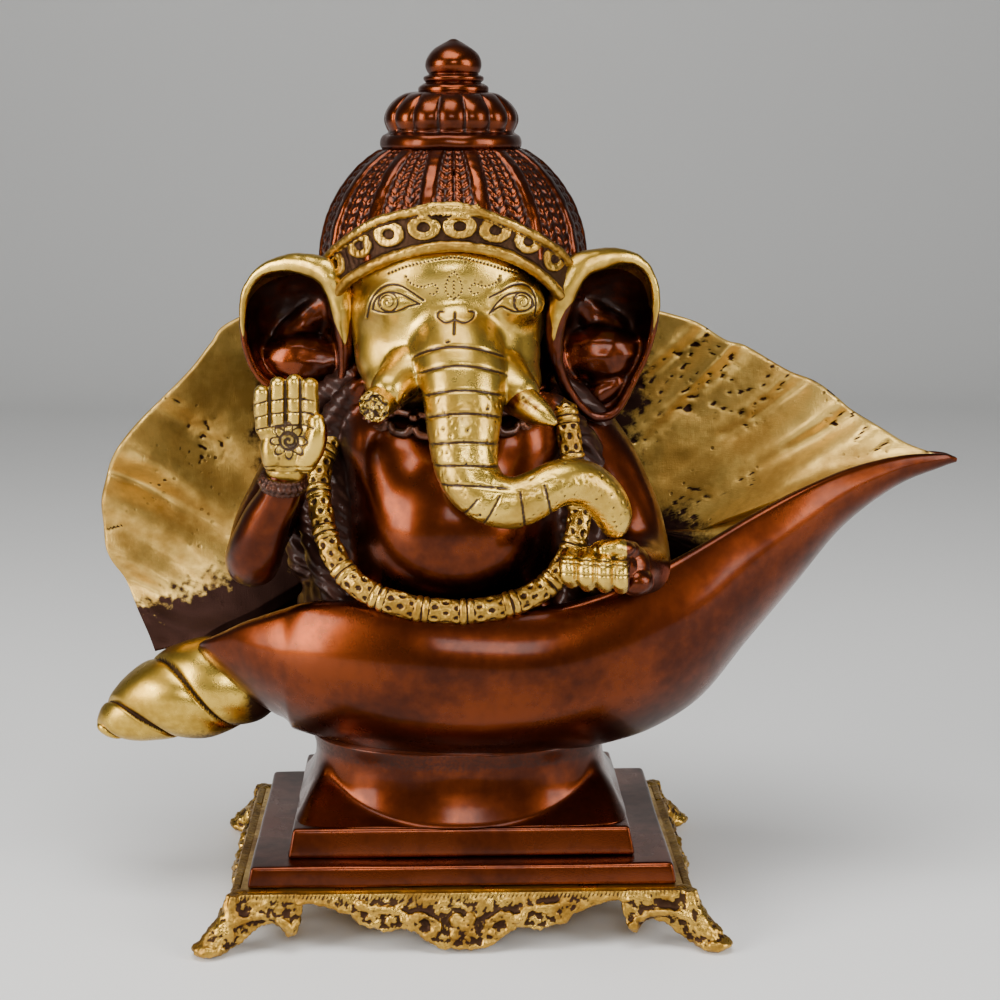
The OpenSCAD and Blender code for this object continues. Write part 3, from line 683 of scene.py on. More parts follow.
def makeSpire():
    curve = smoothPath(spireSetup["axis"], 10)

    def place(u, v):
        row = readPath(curve, u)
        ahead = readPath(curve, np.clip(u + 0.01, 0, 1)) - readPath(curve, np.clip(u - 0.01, 0, 1))
        t = ahead[:, :3] / np.linalg.norm(ahead[:, :3], axis=1)[:, None]
        side = np.cross(t, [0, 1, 0])
        side /= np.linalg.norm(side, axis=1)[:, None]
        deep = np.cross(side, t)
        angle = v * 2 * math.pi
        phase = 2 * (spireSetup["turns"] * u * 2 * math.pi + angle + spireSetup["lead"])
        bulge = np.abs(np.sin(phase / 2)) ** 0.5
        cut = np.exp(-(np.sin(phase / 2) * row[:, 3] / 1.7) ** 2) * 1.25
        radius = (row[:, 3] * (1 - spireSetup["groove"] + spireSetup["groove"] * 1.15 * bulge)
                  - cut * np.clip(row[:, 3] / 8, 0, 1))
        return (row[:, :3] + side * (radius * np.cos(angle))[:, None]
                + deep * (radius * np.sin(angle))[:, None])

    mesh = toMesh(formSheet(190, 130, place))
    points = readPoints(mesh)
    press(mesh, wobble(points, 0.09, 0.5, 5))
    patinaAndShade = findHollows(mesh, 9, 0.3) * 1.9
    # faces turned downwards are darkened: painted shade
    undersideShade = np.clip((-readNormals(mesh)[:, 2] - 0.35) * 1.6, 0, 1) * np.clip((points[:, 0] + 122) / 30, 0, 1)
    root = np.clip((points[:, 0] + 80) / 8, 0, 1)
    paint(mesh, "patinaAndShade", np.maximum(np.maximum(patinaAndShade, undersideShade * 0.75), root))
    finishPiece("conchSpire", mesh, polishedBrass, ["conch_spire"])


makeSpire()

wingSetup = {
    # the free edge from the lower left corner over the top to the tip
    "edge": [(-110.5, 7, 88), (-115.5, 12, 100), (-121.5, 15, 111), (-127, 17, 121), (-129.5, 18, 132),
             (-129.5, 20, 143), (-127.5, 22, 154), (-119, 26, 167), (-108, 30, 178), (-98, 33, 188),
             (-91, 36, 197), (-85, 38, 204), (-66, 41, 211), (-34, 44, 214), (0, 45, 215), (36, 44, 214),
             (60, 42, 211), (75, 40, 208), (88, 36, 204.5), (98, 32, 198.5), (106, 30, 196),
             (121, 25, 187.5), (132, 20, 183), (142, 13, 174.8), (151, 7, 169.4), (160, 2, 164),
             (169, -1, 160.8), (176, -0.5, 158.4)],
    # where it springs up from inside the shell, place for place
    "root": [(-94, 3, 93), (-90, 5, 96), (-84, 9, 98.5), (-76, 15, 101), (-68, 21, 104.5), (-58, 29, 109),
             (-50, 38, 115.5), (-46, 43, 125), (-43, 44, 134), (-40, 45, 143), (-36, 46, 150), (-30, 47, 155),
             (-20, 47, 158), (-10, 47, 160), (0, 47, 160), (10, 47, 158), (20, 46, 154), (30, 45, 148),
             (38, 44, 141), (44, 43, 134), (50, 42, 128), (58, 38, 123), (68, 30, 122), (82, 18, 127),
             (98, 6, 136.5), (118, -2, 146.5), (142, -3.5, 155), (170, -0.5, 158.3)],
    # and where it meets the inside of the shell
    "foot": [(-91, 2, 91), (-70, 18, 99.5), (-40, 41, 109), (0, 47, 112), (40, 45, 114), (70, 27, 115),
             (100, 2, 131), (140, -5.5, 152), (170, -0.5, 157.6)],
    # how far each fold throws the free edge back or forward, by share of its length
    "folds": [(0, 0), (0.035, -2.5), (0.07, 3.4), (0.11, -3), (0.14, 1.4), (0.175, -2.8), (0.203, 4.8),
              (0.235, -4.8), (0.268, 2.8), (0.3, -2.6), (0.36, 1.5), (0.45, 0), (0.55, 0), (0.61, 1.5),
              (0.65, -1.5), (0.675, 3.2), (0.705, -3.4), (0.74, 2.2), (0.765, -1.2), (0.795, 3.2),
              (0.825, -3), (0.85, 2.4), (0.88, -2), (0.92, 1.2), (0.96, -0.5), (1, 0)],
    "thickness": 2.6,
    # x, z where each crack starts at the edge, and its run inwards
    "cracks": [(116, 190, -4, -9), (121.5, 187.5, -4, -7.5), (140, 174.5, -5, -6), (146.5, 169, -4.5, -5),
               (93, 202, -2, -5), (154, 164.5, -5, -3.5), (-107, 178, 6, -2.5), (-128, 131, 5, 1)],
}


def makeWing():
    edge = smoothPath(wingSetup["edge"], 8)
    root = smoothPath(wingSetup["root"], 8)
    foot = smoothPath(wingSetup["foot"], 12)
    folds = smoothPath(wingSetup["folds"], 10)

    def place(u, v):
        # v runs up the front from the foot to the free edge, over it and back down behind
        up = np.where(v < 0.5, v * 2, (1 - v) * 2)
        outer, inner, low = readPath(edge, u), readPath(root, u), readPath(foot, u)
        t = np.clip((up - 0.16) / 0.84, 0, 1)
        where = np.where((up < 0.16)[:, None], low + (inner - low) * (up / 0.16)[:, None],
                         inner + (outer - inner) * t[:, None])
        swell = np.sin(math.pi * t) * 9 * np.sin(math.pi * np.clip(u * 1.15, 0, 1))
        fold = np.interp(u + 0.010 * np.sin(t * 5), folds[:, 0], folds[:, 1])
        fade = np.clip(t * 1.15, 0, 1) ** 1.15 * np.clip((1 - u) * 7, 0, 1)
        where[:, 1] += swell + fold * fade
        # the sheet thins to nothing at its two ends and is rounded at the free edge
        thick = wingSetup["thickness"] * np.clip(np.minimum(u, 1 - u) * 25 + 0.2, 0, 1)
        edgeRound = np.sqrt(np.clip(1 - np.clip((up - 0.985) / 0.015, 0, 1) ** 2, 0, 1))
        where[:, 1] += np.where(v < 0.5, -0.5, 0.5) * thick * edgeRound
        return where

    mesh = toMesh(formSheet(360, 230, place))
    points = readPoints(mesh)
    x, z = points[:, 0], points[:, 2]
    dents = wobble(points, 0.05, 1.2, 6) + wobble(points, 0.16, 0.35, 7)
    # clusters of casting pits, and short cracks in from the free edge
    pitting = np.clip(wobble(points, 0.045, 1.6, 24) - 0.12, 0, 1) * np.clip((x - 40) / 10, 0, 1)
    pitting += 0.5 * np.exp(-((x - 92) / 24) ** 2 - ((z - 180) / 14) ** 2)
    pitting = np.clip(pitting + 0.6 * np.exp(-((x + 95) / 9) ** 2 - ((z - 160) / 8) ** 2), 0, 0.6)
    pits = np.clip(wobble(points, 0.42, 2.2, 25) - 0.55, 0, 0.8) * pitting * 2.6
    cracks = np.zeros(len(points))
    for ex, ez, dx, dz in wingSetup["cracks"]:
        away = lineDistance(points[:, [0, 2]], [(ex, ez), (ex + dx, ez + dz)])
        cracks = np.maximum(cracks, np.exp(-(away / 0.42) ** 2))
    dents = dents + pits * 1.2 + cracks * 0.7
    movePoints(mesh, points + np.array([0, 1, 0]) * dents[:, None])
    # darkened towards the figure and low down on both sides: painted shade where the figure and the shell
    # close round the sheet; streaks and pits add patina
    aside = np.maximum(-66 - x, x - 60)
    figure = np.clip(1 - aside / 17, 0, 1)
    border = 111 + np.clip(x + 118, 0, 60) * 0.35 + wobble(points, 0.09, 5, 45) + wobble(points, 0.45, 7, 46)
    low = np.clip((border - z) / 20, 0, 1) * np.clip((-30 - x) / 20, 0, 1)
    lowRightShade = np.clip((146 - z) / 20, 0, 1) * np.clip((106 - x) / 26, 0, 1) * np.clip(x / 20, 0, 1) * 0.95
    streaks = wobble(points * (1, 1, 2.5), 0.09, 0.5, 8) + wobble(points, 0.35, 0.4, 26)
    front = np.clip(0.6 - readNormals(mesh)[:, 1] * 3, 0, 1)
    patinaAndShade = np.maximum.reduce([figure * 0.95, low * 1.2, lowRightShade]) * (0.35 + 0.65 * front)
    patinaAndShade += streaks * (0.35 + figure * front) + pits * 1.6
    paint(mesh, "patinaAndShade", np.maximum(patinaAndShade, cracks * 0.95))
    paint(mesh, "gilt", front)
    finishPiece("conchWing", mesh, satinBrass, ["conch_wing"])


makeWing()
print("conch done")

headSetup = {
    # centre and half sizes of the lumps the face is built from
    "lumps": [
        ((-4.4, -8, 212), (35.3, 34, 32)), ((-4, -7, 227), (37.5, 36.5, 13.5)),
        ((-4, -18, 225), (29, 27, 17)), ((-3.5, -19, 229), (28, 26.5, 13)),
        ((-4.4, -19, 212), (33, 25, 22)), ((-19, -23, 200), (17, 15.5, 17)),
        ((11, -23, 200), (17, 15.5, 17)), ((-20.5, -26, 192), (12.5, 14, 12)),
        ((15.5, -26, 191), (12.5, 14, 13)), ((-21.5, -32.5, 217.5), (11.5, 11.5, 8)),
        ((18, -32.5, 217.5), (11.5, 11.5, 8)), ((-3, -31, 213), (18, 13.5, 14)),
        ((-14, -32, 203), (11, 9, 12)), ((10.5, -32, 203), (11, 9, 12)), ((-3, -14, 186), (19, 18, 9)),
    ],
    # the lips that sleeve the tusks
    "lips": [
        [(-12, -32, 199, 8.5), (-17, -39, 195.5, 8.2), (-21.5, -46, 192, 7.2), (-23.5, -49.5, 190.4, 6.6)],
        [(9.5, -32, 198, 8.5), (14, -39, 194, 8.4), (18, -45, 190.5, 7.6), (19.5, -48, 189, 7)],
    ],
    # the trunk's middle line, width and depth
    "trunk": [
        (-2.5, -30, 211, 30, 26), (-1.5, -38, 206, 30, 25), (-0.5, -44.5, 200.5, 29.5, 25),
        (0.6, -50, 193, 28, 24), (1, -54.5, 184.5, 26, 22.5), (0.8, -57.5, 176, 23.6, 21),
        (1.4, -60, 168, 21.6, 19.5), (4, -62.5, 161.4, 20, 18.5), (9.4, -65, 156.8, 18, 17.8),
        (17, -66.3, 155.6, 16.8, 17.2), (24.5, -66, 158.4, 15.8, 16.7), (32, -64.5, 161.8, 15.2, 16.2),
        (40, -62, 161, 14.8, 15.7), (46, -60, 156.4, 14.2, 14.8), (49.6, -58, 150.4, 12.8, 13.2),
        (50.4, -57, 146.6, 9.8, 10.6),
    ],
    # heights of the creases down the front of the trunk, then their x and slant where it turns aside
    "creases": (205.2, 199.4, 191.8, 184.6, 175.6, 168.3, 162.0),
    "turned": ((2.5, 0.75), (9.8, 0.5), (19.5, -0.15), (28.5, -0.25)),
}

eyeLines = {
    "rightLid": [(-31, 212.6), (-29.4, 218.1), (-26.8, 222), (-23.4, 223.9), (-19.5, 223.6), (-15.7, 221.5),
                 (-11.9, 218.9)],
    "rightUpper": [(-28.8, 215.6), (-28, 218.4), (-25.9, 220.6), (-22.9, 221.5), (-19.6, 221),
                   (-16.5, 219.5), (-13.2, 217.7)],
    "rightLower": [(-28.8, 215.6), (-26.3, 214.9), (-23, 214.9), (-19.6, 215.7), (-16.7, 217),
                   (-13.2, 217.7)],
    "leftLid": [(9.7, 219.7), (13.1, 221.4), (17, 223.6), (20.8, 224), (23.7, 222.3), (25, 218),
                (24.9, 212.8)],
    "leftUpper": [(9.8, 214.6), (12.4, 218), (14.8, 220.1), (17.4, 221.1), (20.8, 221.2), (23.2, 219.8),
                  (24.3, 216.9)],
    "leftLower": [(9.8, 214.6), (13.4, 216.7), (16, 215.8), (18.6, 215), (21.8, 215.4), (24.3, 216.9)],
}
irisSetup = [((-23.5, 218.3), 3.1), ((20.6, 218.2), 3.1)]
markLines = [
    [(-1.6, 215.2), (-2.1, 208.9)],
    [(-1.8, 213.2), (-4.7, 212.3), (-7.3, 213.7), (-7, 215.3), (-5.6, 215.5)],
    [(-1.8, 213.2), (1.4, 212.3), (4.2, 213.5), (4.7, 215.2), (3.2, 215.7)],
    [(-4.6, 206.4), (-3.8, 206.7)],
]
# a bud on a curled stem, pricked in dots
dotLines = [
    [(-23.4, 227.6), (-17.6, 229.9), (-11.8, 231.4), (-6.1, 232.6), (-2, 233), (3, 232.4), (9.3, 230.6),
     (14.1, 229), (19.4, 227.4)],
    [(-17.6, 226.6), (-16, 224.4), (-12.4, 223.4), (-8.8, 224.4), (-7.2, 222.6), (-8.6, 221), (-10.6, 221.4)],
    [(13.4, 226.6), (11.8, 224.4), (8.2, 223.4), (4.8, 224.4), (3.2, 222.6), (4.6, 221), (6.6, 221.4)],
    [(-2, 219.4), (-4.5, 221.8), (-4.3, 225), (-2, 228.4), (0.3, 225), (0.5, 221.8), (-2, 219.4)],
    [(-2, 221.5), (-2, 225.4)],
]


def strokeDepth(flat, lines, width, depth):
    total = np.zeros(len(flat))
    for line in lines:
        d = lineDistance(flat, smoothPath(line, 6) if len(line) > 2 else line)
        total = np.maximum(total, np.exp(-(d / width) ** 2))
    return total * depth


def dotDepth(flat, lines, gap, radius):
    total = np.zeros(len(flat))
    for line in lines:
        curve = smoothPath(line, 12)
        steps = np.r_[0, np.cumsum(np.linalg.norm(np.diff(curve, axis=0), axis=1))]
        for s in np.arange(0, steps[-1], gap):
            spot = (np.interp(s, steps, curve[:, 0]), np.interp(s, steps, curve[:, 1]))
            total = np.maximum(total, np.exp(-(np.hypot(*(flat - spot).T) / radius) ** 4))
    return total


def refineNear(mesh, wanted, cuts=1):
    bm = bmesh.new()
    bm.from_mesh(mesh)
    bm.verts.ensure_lookup_table()
    edges = [e for e in bm.edges if wanted[e.verts[0].index] and wanted[e.verts[1].index]]
    bmesh.ops.subdivide_edges(bm, edges=edges, cuts=cuts, use_grid_fill=True, smooth=0.0)
    bm.to_mesh(mesh)
    bm.free()
    mesh.update()


def makeHead():
    bm = bmesh.new()
    for centre, size in headSetup["lumps"]:
        ball(bm, centre, size, detail=4)
    for lip in headSetup["lips"]:
        roll(bm, lip, steps=8, detail=3)
    curve = smoothPath(headSetup["trunk"], 10)
    for x, y, z, w, d in curve:
        ball(bm, (x, y, z), (w / 2, d / 2, min(w, d) / 2), detail=3)
    mesh = melt(bm, 0.62, rubs=10)
    # the face is rubbed down hard where the trunk grows out of it, and the trunk is left alone
    points = readPoints(mesh)
    soft = np.clip((points[:, 2] - 184) / 26, 0, 1)
    movePoints(mesh, points + (relax(mesh, 70) - points) * soft[:, None])
    points = readPoints(mesh)
    flat = points[:, [0, 2]]
    allLines = list(eyeLines.values()) + markLines + dotLines
    nearLine = np.min([lineDistance(flat, line) for line in allLines], axis=0)
    refineNear(mesh, (nearLine < 1.2) & (points[:, 1] < -25))
    points = readPoints(mesh)
    flat = points[:, [0, 2]]
    facing = -readNormals(mesh)[:, 1]
    front = np.clip((facing - 0.15) * 3, 0, 1) * (points[:, 2] > 205)

    # creases run across the trunk, bowed down at their ends, and are sharpest in front
    crease = np.zeros(len(points))
    middle = np.interp(points[:, 2], curve[::-1, 2], curve[::-1, 0])
    half = np.interp(points[:, 2], [160, 175, 191, 205], [11.5, 12, 14.5, 17])
    sideways = np.abs(points[:, 0] - middle) / half
    upright = np.clip((points[:, 2] - 158) / 3, 0, 1) * (points[:, 0] < 16) * (points[:, 1] < -36)
    for z in headSetup["creases"]:
        bow = np.interp(z, [160, 175, 191, 205], [0.6, 1.8, 3.2, 5.2])
        line = np.exp(-((points[:, 2] - z + bow * sideways ** 2) / 0.5) ** 2)
        crease = np.maximum(crease, line * upright * np.clip((1.1 - sideways) * 3.5, 0, 1))
    for index, (x, slope) in enumerate(headSetup["turned"]):
        line = np.exp(-((points[:, 0] - x - slope * (points[:, 2] - 154.5)) / 0.62) ** 2)
        crease = np.maximum(crease, line * (points[:, 2] < 158 + index * 1.5) * (points[:, 1] < -55) * 0.85)
    crease *= np.clip((facing + 0.35) * 2.5, 0, 1)
    eyes = strokeDepth(flat, list(eyeLines.values()), 0.36, 1.0)
    lidBulge = 0
    for (x, z), radius in irisSetup:
        dx, dz = flat[:, 0] - x, flat[:, 1] - z
        r, a = np.hypot(dx, dz), np.arctan2(dz, dx)
        coil = np.exp(-(((r - 0.27 * (a + math.pi)) % 1.7 - 0.85) / 0.26) ** 2) * (r < radius - 0.4) * 0.8
        ring = np.exp(-((r - radius) / 0.32) ** 2)
        eyes = np.maximum(eyes, np.maximum(ring, coil))
        lidBulge = lidBulge + np.exp(-((flat[:, 0] - x * 0.93) / 7.5) ** 2 - ((flat[:, 1] - z) / 3.4) ** 2)
    marks = strokeDepth(flat, markLines, 0.36, 1.0)
    dots = dotDepth(flat, dotLines, 1.25, 0.42)
    pores = np.clip(wobble(points, 0.9, 2.4, 42) - 0.75, 0, 1) * (points[:, 2] < 190) * (points[:, 1] < -40)
    heights = (lidBulge * 0.75 * front - 0.5 * np.maximum(eyes, marks) * front - 0.3 * dots * front
               - 0.6 * crease)
    press(mesh, heights + wobble(points, 0.06, 0.25, 9) - pores * 0.5)
    hollow = findHollows(mesh, 10, 0.55) * 0.9
    patinaAndShade = np.maximum.reduce([hollow, np.maximum(eyes, marks) * front * 1.2, dots * front * 0.95,
                               crease * 1.1, pores])
    # the jaw below and behind the face, and faces turned downwards, are darkened: painted shade
    undersideShade = np.clip((196 - points[:, 2]) / 10, 0, 1) * np.clip((points[:, 1] + 26) / 8, 0, 1)
    undersideShade = np.maximum(undersideShade,
                       np.clip(-readNormals(mesh)[:, 2] * 2.5 - 1.0, 0, 1) * (points[:, 1] > -52)
                       * (points[:, 2] < 200))
    paint(mesh, "patinaAndShade", np.maximum(patinaAndShade, undersideShade * 0.9))
    paint(mesh, "gilt", np.clip((-points[:, 1] - 12) / 6, 0, 1))
    finishPiece("headAndTrunk", mesh, brassAndBrown, ["head", "trunk"])


makeHead()
print("head done")

tuskSetup = {
    "right_tusk": [(-19, -36, 190.5, 6.2), (-22.5, -44, 188.8, 6), (-26, -52, 187, 5.6),
                   (-28.2, -57, 185.8, 5.3)],
    "left_tusk": [(14, -36, 189, 7), (17, -43, 188, 6.6), (21, -51, 186, 5.7), (26, -58, 183.4, 4),
                  (30, -62.5, 181.2, 1.4)],
}


def makeTusk(name, node, broken):
    bm = bmesh.new()
    roll(bm, tuskSetup[node], steps=8, detail=3)
    mesh = melt(bm, 0.42, rubs=6)
    points = readPoints(mesh)
    if broken:
        # the snapped end is flat, chipped and pitted
        tip = np.array(tuskSetup[node][-1][:3])
        way = tip - np.array(tuskSetup[node][-2][:3])
        way /= np.linalg.norm(way)
        past = (points - tip) @ way
        rough = wobble(points, 0.5, 1.5, 11) + wobble(points, 1.3, 1.0, 12)
        points = points - way * np.clip(past - rough, 0, None)[:, None]
        movePoints(mesh, points)
        patinaAndShade = np.clip((past + 0.6) / 1.5, 0, 1) * np.clip(0.5 + wobble(points, 0.8, 1.4, 13), 0, 1)
    else:
        patinaAndShade = wobble(points, 0.2, 0.5, 14)
    root = np.clip((points[:, 1] + 50) / 4, 0, 1)
    paint(mesh, "patinaAndShade", np.maximum(patinaAndShade, root))
    paint(mesh, "gilt", np.full(len(points), 1.0 if broken else 0.45) + wobble(points, 0.12, 0.7, 15))
    finishPiece(name, mesh, brassAndBrown, [node])


makeTusk("rightTusk", "right_tusk", True)
makeTusk("leftTusk", "left_tusk", False)

earSetup = {
    "right": {
        # the bowl's deepest point, and x of the rim beside the head
        "centre": (-55, 8, 204), "beside": -39.5, "node": "right_ear",
        # x, y, z and roll radius, from the crown over the outer side, down, and back up beside the cheek
        "rim": [(-40.5, -20, 220, 4.8), (-43.5, -21, 226, 4.8), (-49, -18.5, 228.4, 4.2),
                (-58, -15, 229.4, 3.3), (-67, -12, 226.6, 2.3), (-72.8, -10, 220, 1.8),
                (-74.6, -9, 210, 1.6), (-73.8, -8, 200, 1.5), (-70.4, -7, 191, 1.5),
                (-64.5, -6, 185.5, 1.5), (-56, -5, 182.4, 1.7), (-48, -8, 182.5, 2), (-41, -13, 187, 2.2),
                (-39, -17, 197, 2.6), (-39.4, -20, 209, 4.2)],
        # folds in the bowl
        "folds": [[(-47, 6, 214, 5), (-53, 8, 208, 6), (-60, 6, 201, 6)],
                  [(-63, 4, 195, 7.5), (-55, 3, 194.5, 10), (-46.5, 1, 194, 8)]],
    },
    "left": {
        "centre": (50, 8, 203), "beside": 32.5, "node": "left_ear",
        "rim": [(33, -21, 212, 4.4), (35.8, -22, 221, 4.8), (40.5, -20.5, 228, 4.8), (48.5, -17.5, 231, 4),
                (57, -14, 231.4, 3), (64, -11, 228, 2.2), (67.8, -9, 221, 1.7), (68.3, -8, 210.5, 1.6),
                (65.6, -7.5, 197.5, 1.5), (60.4, -7.5, 186, 1.5), (54.5, -8, 176.5, 1.6),
                (47, -10, 175.5, 1.8), (40, -14, 182, 2), (34.5, -17, 192, 2.4), (32.2, -20, 202, 3.6)],
        "folds": [[(42, 6, 215, 5), (48, 8, 209, 6), (56, 6, 204, 6)],
                  [(60, 3, 197, 7.5), (51, 2, 196, 11), (42, 1, 196, 8.5)],
                  [(55, -1, 186, 4.5), (49, -2, 182.5, 4.5)]],
    },
}


def makeEar(side):
    setup = earSetup[side]
    loop = np.array(setup["rim"] + setup["rim"][:1], float)
    curve = smoothPath(loop, 12)
    centre = np.array(setup["centre"], float)

    def place(u, v):
        rim = readPath(curve, u)[:, :3]
        s = np.where(v < 0.5, v * 2, 2 - v * 2)
        where = centre + (rim - centre) * s[:, None]
        where[:, 1] = centre[1] + (rim[:, 1] - centre[1]) * s ** 2.8
        where[:, 1] += np.where(v < 0.5, 0, 3.4)
        return where

    bm = formSheet(120, 60, place)
    for x, y, z, r in smoothPath(loop, 16):
        ball(bm, (x, y + 0.8, z), r, detail=2)
    for fold in setup["folds"]:
        roll(bm, fold, steps=8, detail=2)
    mesh = melt(bm, 0.62, rubs=18)
    points = readPoints(mesh)
    press(mesh, wobble(points, 0.07, 0.7, 16) + wobble(points, 0.25, 0.25, 37))
    points, normals = readPoints(mesh), readNormals(mesh)
    # the roll is bright all the way from the crown over the top, and fades out down the outer edge
    away = lineDistance(points[:, [0, 2]], curve[:, [0, 2]])
    size = np.interp(points[:, 2], [188, 200, 216, 226], [1.2, 2.2, 3.6, 5.2])
    nearHead = np.abs(points[:, 0] - setup["beside"]) < 9
    size = np.where(nearHead & (points[:, 2] > 200), 6.4, size)
    size = size * np.clip((points[:, 2] - 202 + wobble(points, 0.12, 5, 44)) / 22, 0, 1)
    bright = np.clip((size + 0.4 - away) / 1.2, 0, 1) * np.clip(-normals[:, 1] * 3 + 1.4, 0, 1)
    bright *= np.clip((points[:, 2] - 198) / 6, 0, 1)
    paint(mesh, "gilt", bright)
    hair = wobble(points * (1, 1, 3), 0.16, 0.5, 17)
    # the upper bowl under the roll and the back of the bowl are darkened: painted shade; hollows and hair
    # lines hold patina
    upper = np.clip((points[:, 2] - 200) / 16, 0, 1) * 0.35
    deep = np.clip((points[:, 1] + 2) / 9, 0, 1) * 0.3
    paint(mesh, "patinaAndShade", findHollows(mesh, 14, 0.8) * 0.75 + hair * 0.7 + (upper + deep) * (1 - bright))
    finishPiece(side + "Ear", mesh, brassAndBrown, [setup["node"]])


makeEar("right")
makeEar("left")
print("ears done")

bandSetup = {
    "axis": (-1.7, 3.0), "radius": 45.8,
    # x and z along the lower rail and the upper rail
    "lower": [(-41, 220), (-36.5, 225), (-26.5, 231), (-15.6, 234.8), (-2.5, 236.6), (12, 234.6),
              (22.4, 229.9), (29.6, 224.2), (33.6, 219.4)],
    "upper": [(-45.5, 227.5), (-43, 233.3), (-29.5, 243.2), (-15, 247.7), (-3, 249), (8, 247), (19.8, 242.2),
              (31.8, 235.2), (37.4, 229.5), (40.5, 224)],
    "rosettes": [(-40.4, 229.6), (-32.3, 236.2), (-22.8, 240.2), (-11.5, 242.6), (0, 243), (11.4, 241.6),
                 (22.2, 237.8), (31, 231.6)],
    "ring": 4.4, "hole": 1.35, "widen": 1.33,
}


def onBand(x, z, out=0.0):
    cx, cy = bandSetup["axis"]
    r = bandSetup["radius"] + out
    inward = max(r * r - (x - cx) ** 2, (r * 0.35) ** 2)
    # above the brow the band leans back a little with the dome
    return Vector((x, cy - math.sqrt(inward) + max(z - 232, 0) * 0.10, z))


def makeHeadband():
    bm = bmesh.new()
    rails = {}
    for key, radius in (("lower", 2.0), ("upper", 1.7)):
        rails[key] = smoothPath(bandSetup[key], 14)
        for x, z in rails[key]:
            ball(bm, onBand(x, z, 1.0), radius, detail=2)
    # the strap behind the rosettes
    for t in np.linspace(0, 1, 70):
        a, b = readPath(rails["lower"], t), readPath(rails["upper"], t)
        for s in np.linspace(0, 1, 12):
            x, z = a + (b - a) * s
            ball(bm, onBand(x, z, -0.3), 1.5, detail=1)
    # a low plaque stands in the middle of the upper rail
    for dx in np.linspace(-9, 9, 15):
        for z in (247.3, 248.3):
            ball(bm, onBand(-3.5 + dx, z, 1.3), 1.5, detail=1)
    mesh = melt(bm, 0.42, rubs=5, rubbing=0.4)
    points = readPoints(mesh)
    # each rosette is a flat ring with a punched middle, and the ground between them is left dark
    flat = points[:, [0, 2]]
    outward = readNormals(mesh) @ np.array((0, -1, 0.15))
    rail = np.minimum(lineDistance(flat, rails["lower"]) - 2.1, lineDistance(flat, rails["upper"]) - 1.9)
    raised = np.clip(-rail / 0.5, 0, 1)
    ring = np.zeros(len(points))
    for x, z in bandSetup["rosettes"]:
        centre = np.array(onBand(x, z))
        side = np.array((onBand(x + 1, z) - onBand(x - 1, z)).normalized())
        away = points - centre
        r = np.hypot(away @ side / bandSetup["widen"], away[:, 2])
        ring = np.maximum(ring, np.clip((bandSetup["ring"] - r) / 0.5, 0, 1)
                          * np.clip((r - bandSetup["hole"]) / 0.5, 0, 1))
    plaque = (np.abs(flat[:, 0] + 3.5) < 10.5) * (flat[:, 1] > 246.8)
    ring = np.maximum(ring, plaque) * (outward > 0.1)
    hollow = (1 - raised) * (outward > 0.1)
    press(mesh, ring * 1.2 * hollow + wobble(points, 0.5, 0.25, 18) + wobble(points, 0.12, 0.3, 19))
    rubbed = wobble(points, 0.25, 0.5, 20) + wobble(points, 0.9, 0.4, 38)
    paint(mesh, "patinaAndShade", np.maximum(hollow * (1 - ring) * 1.2, findHollows(mesh, 7, 0.4)) + rubbed * 0.7)
    finishPiece("headband", mesh, frameBrass, ["headband"])


makeHeadband()

crownSetup = {
    "profile": [(43, 205), (44.6, 212), (45.6, 219), (46.1, 227), (45.6, 235), (43.8, 243), (40.6, 250.5),
                (36.4, 257), (31.5, 262.4), (26, 266.6), (22.5, 268.2)],
    "ribs": 14, "ribWidth": 2.7, "ribHeight": 2.2, "plait": 1.35, "pitch": 3.3,
}


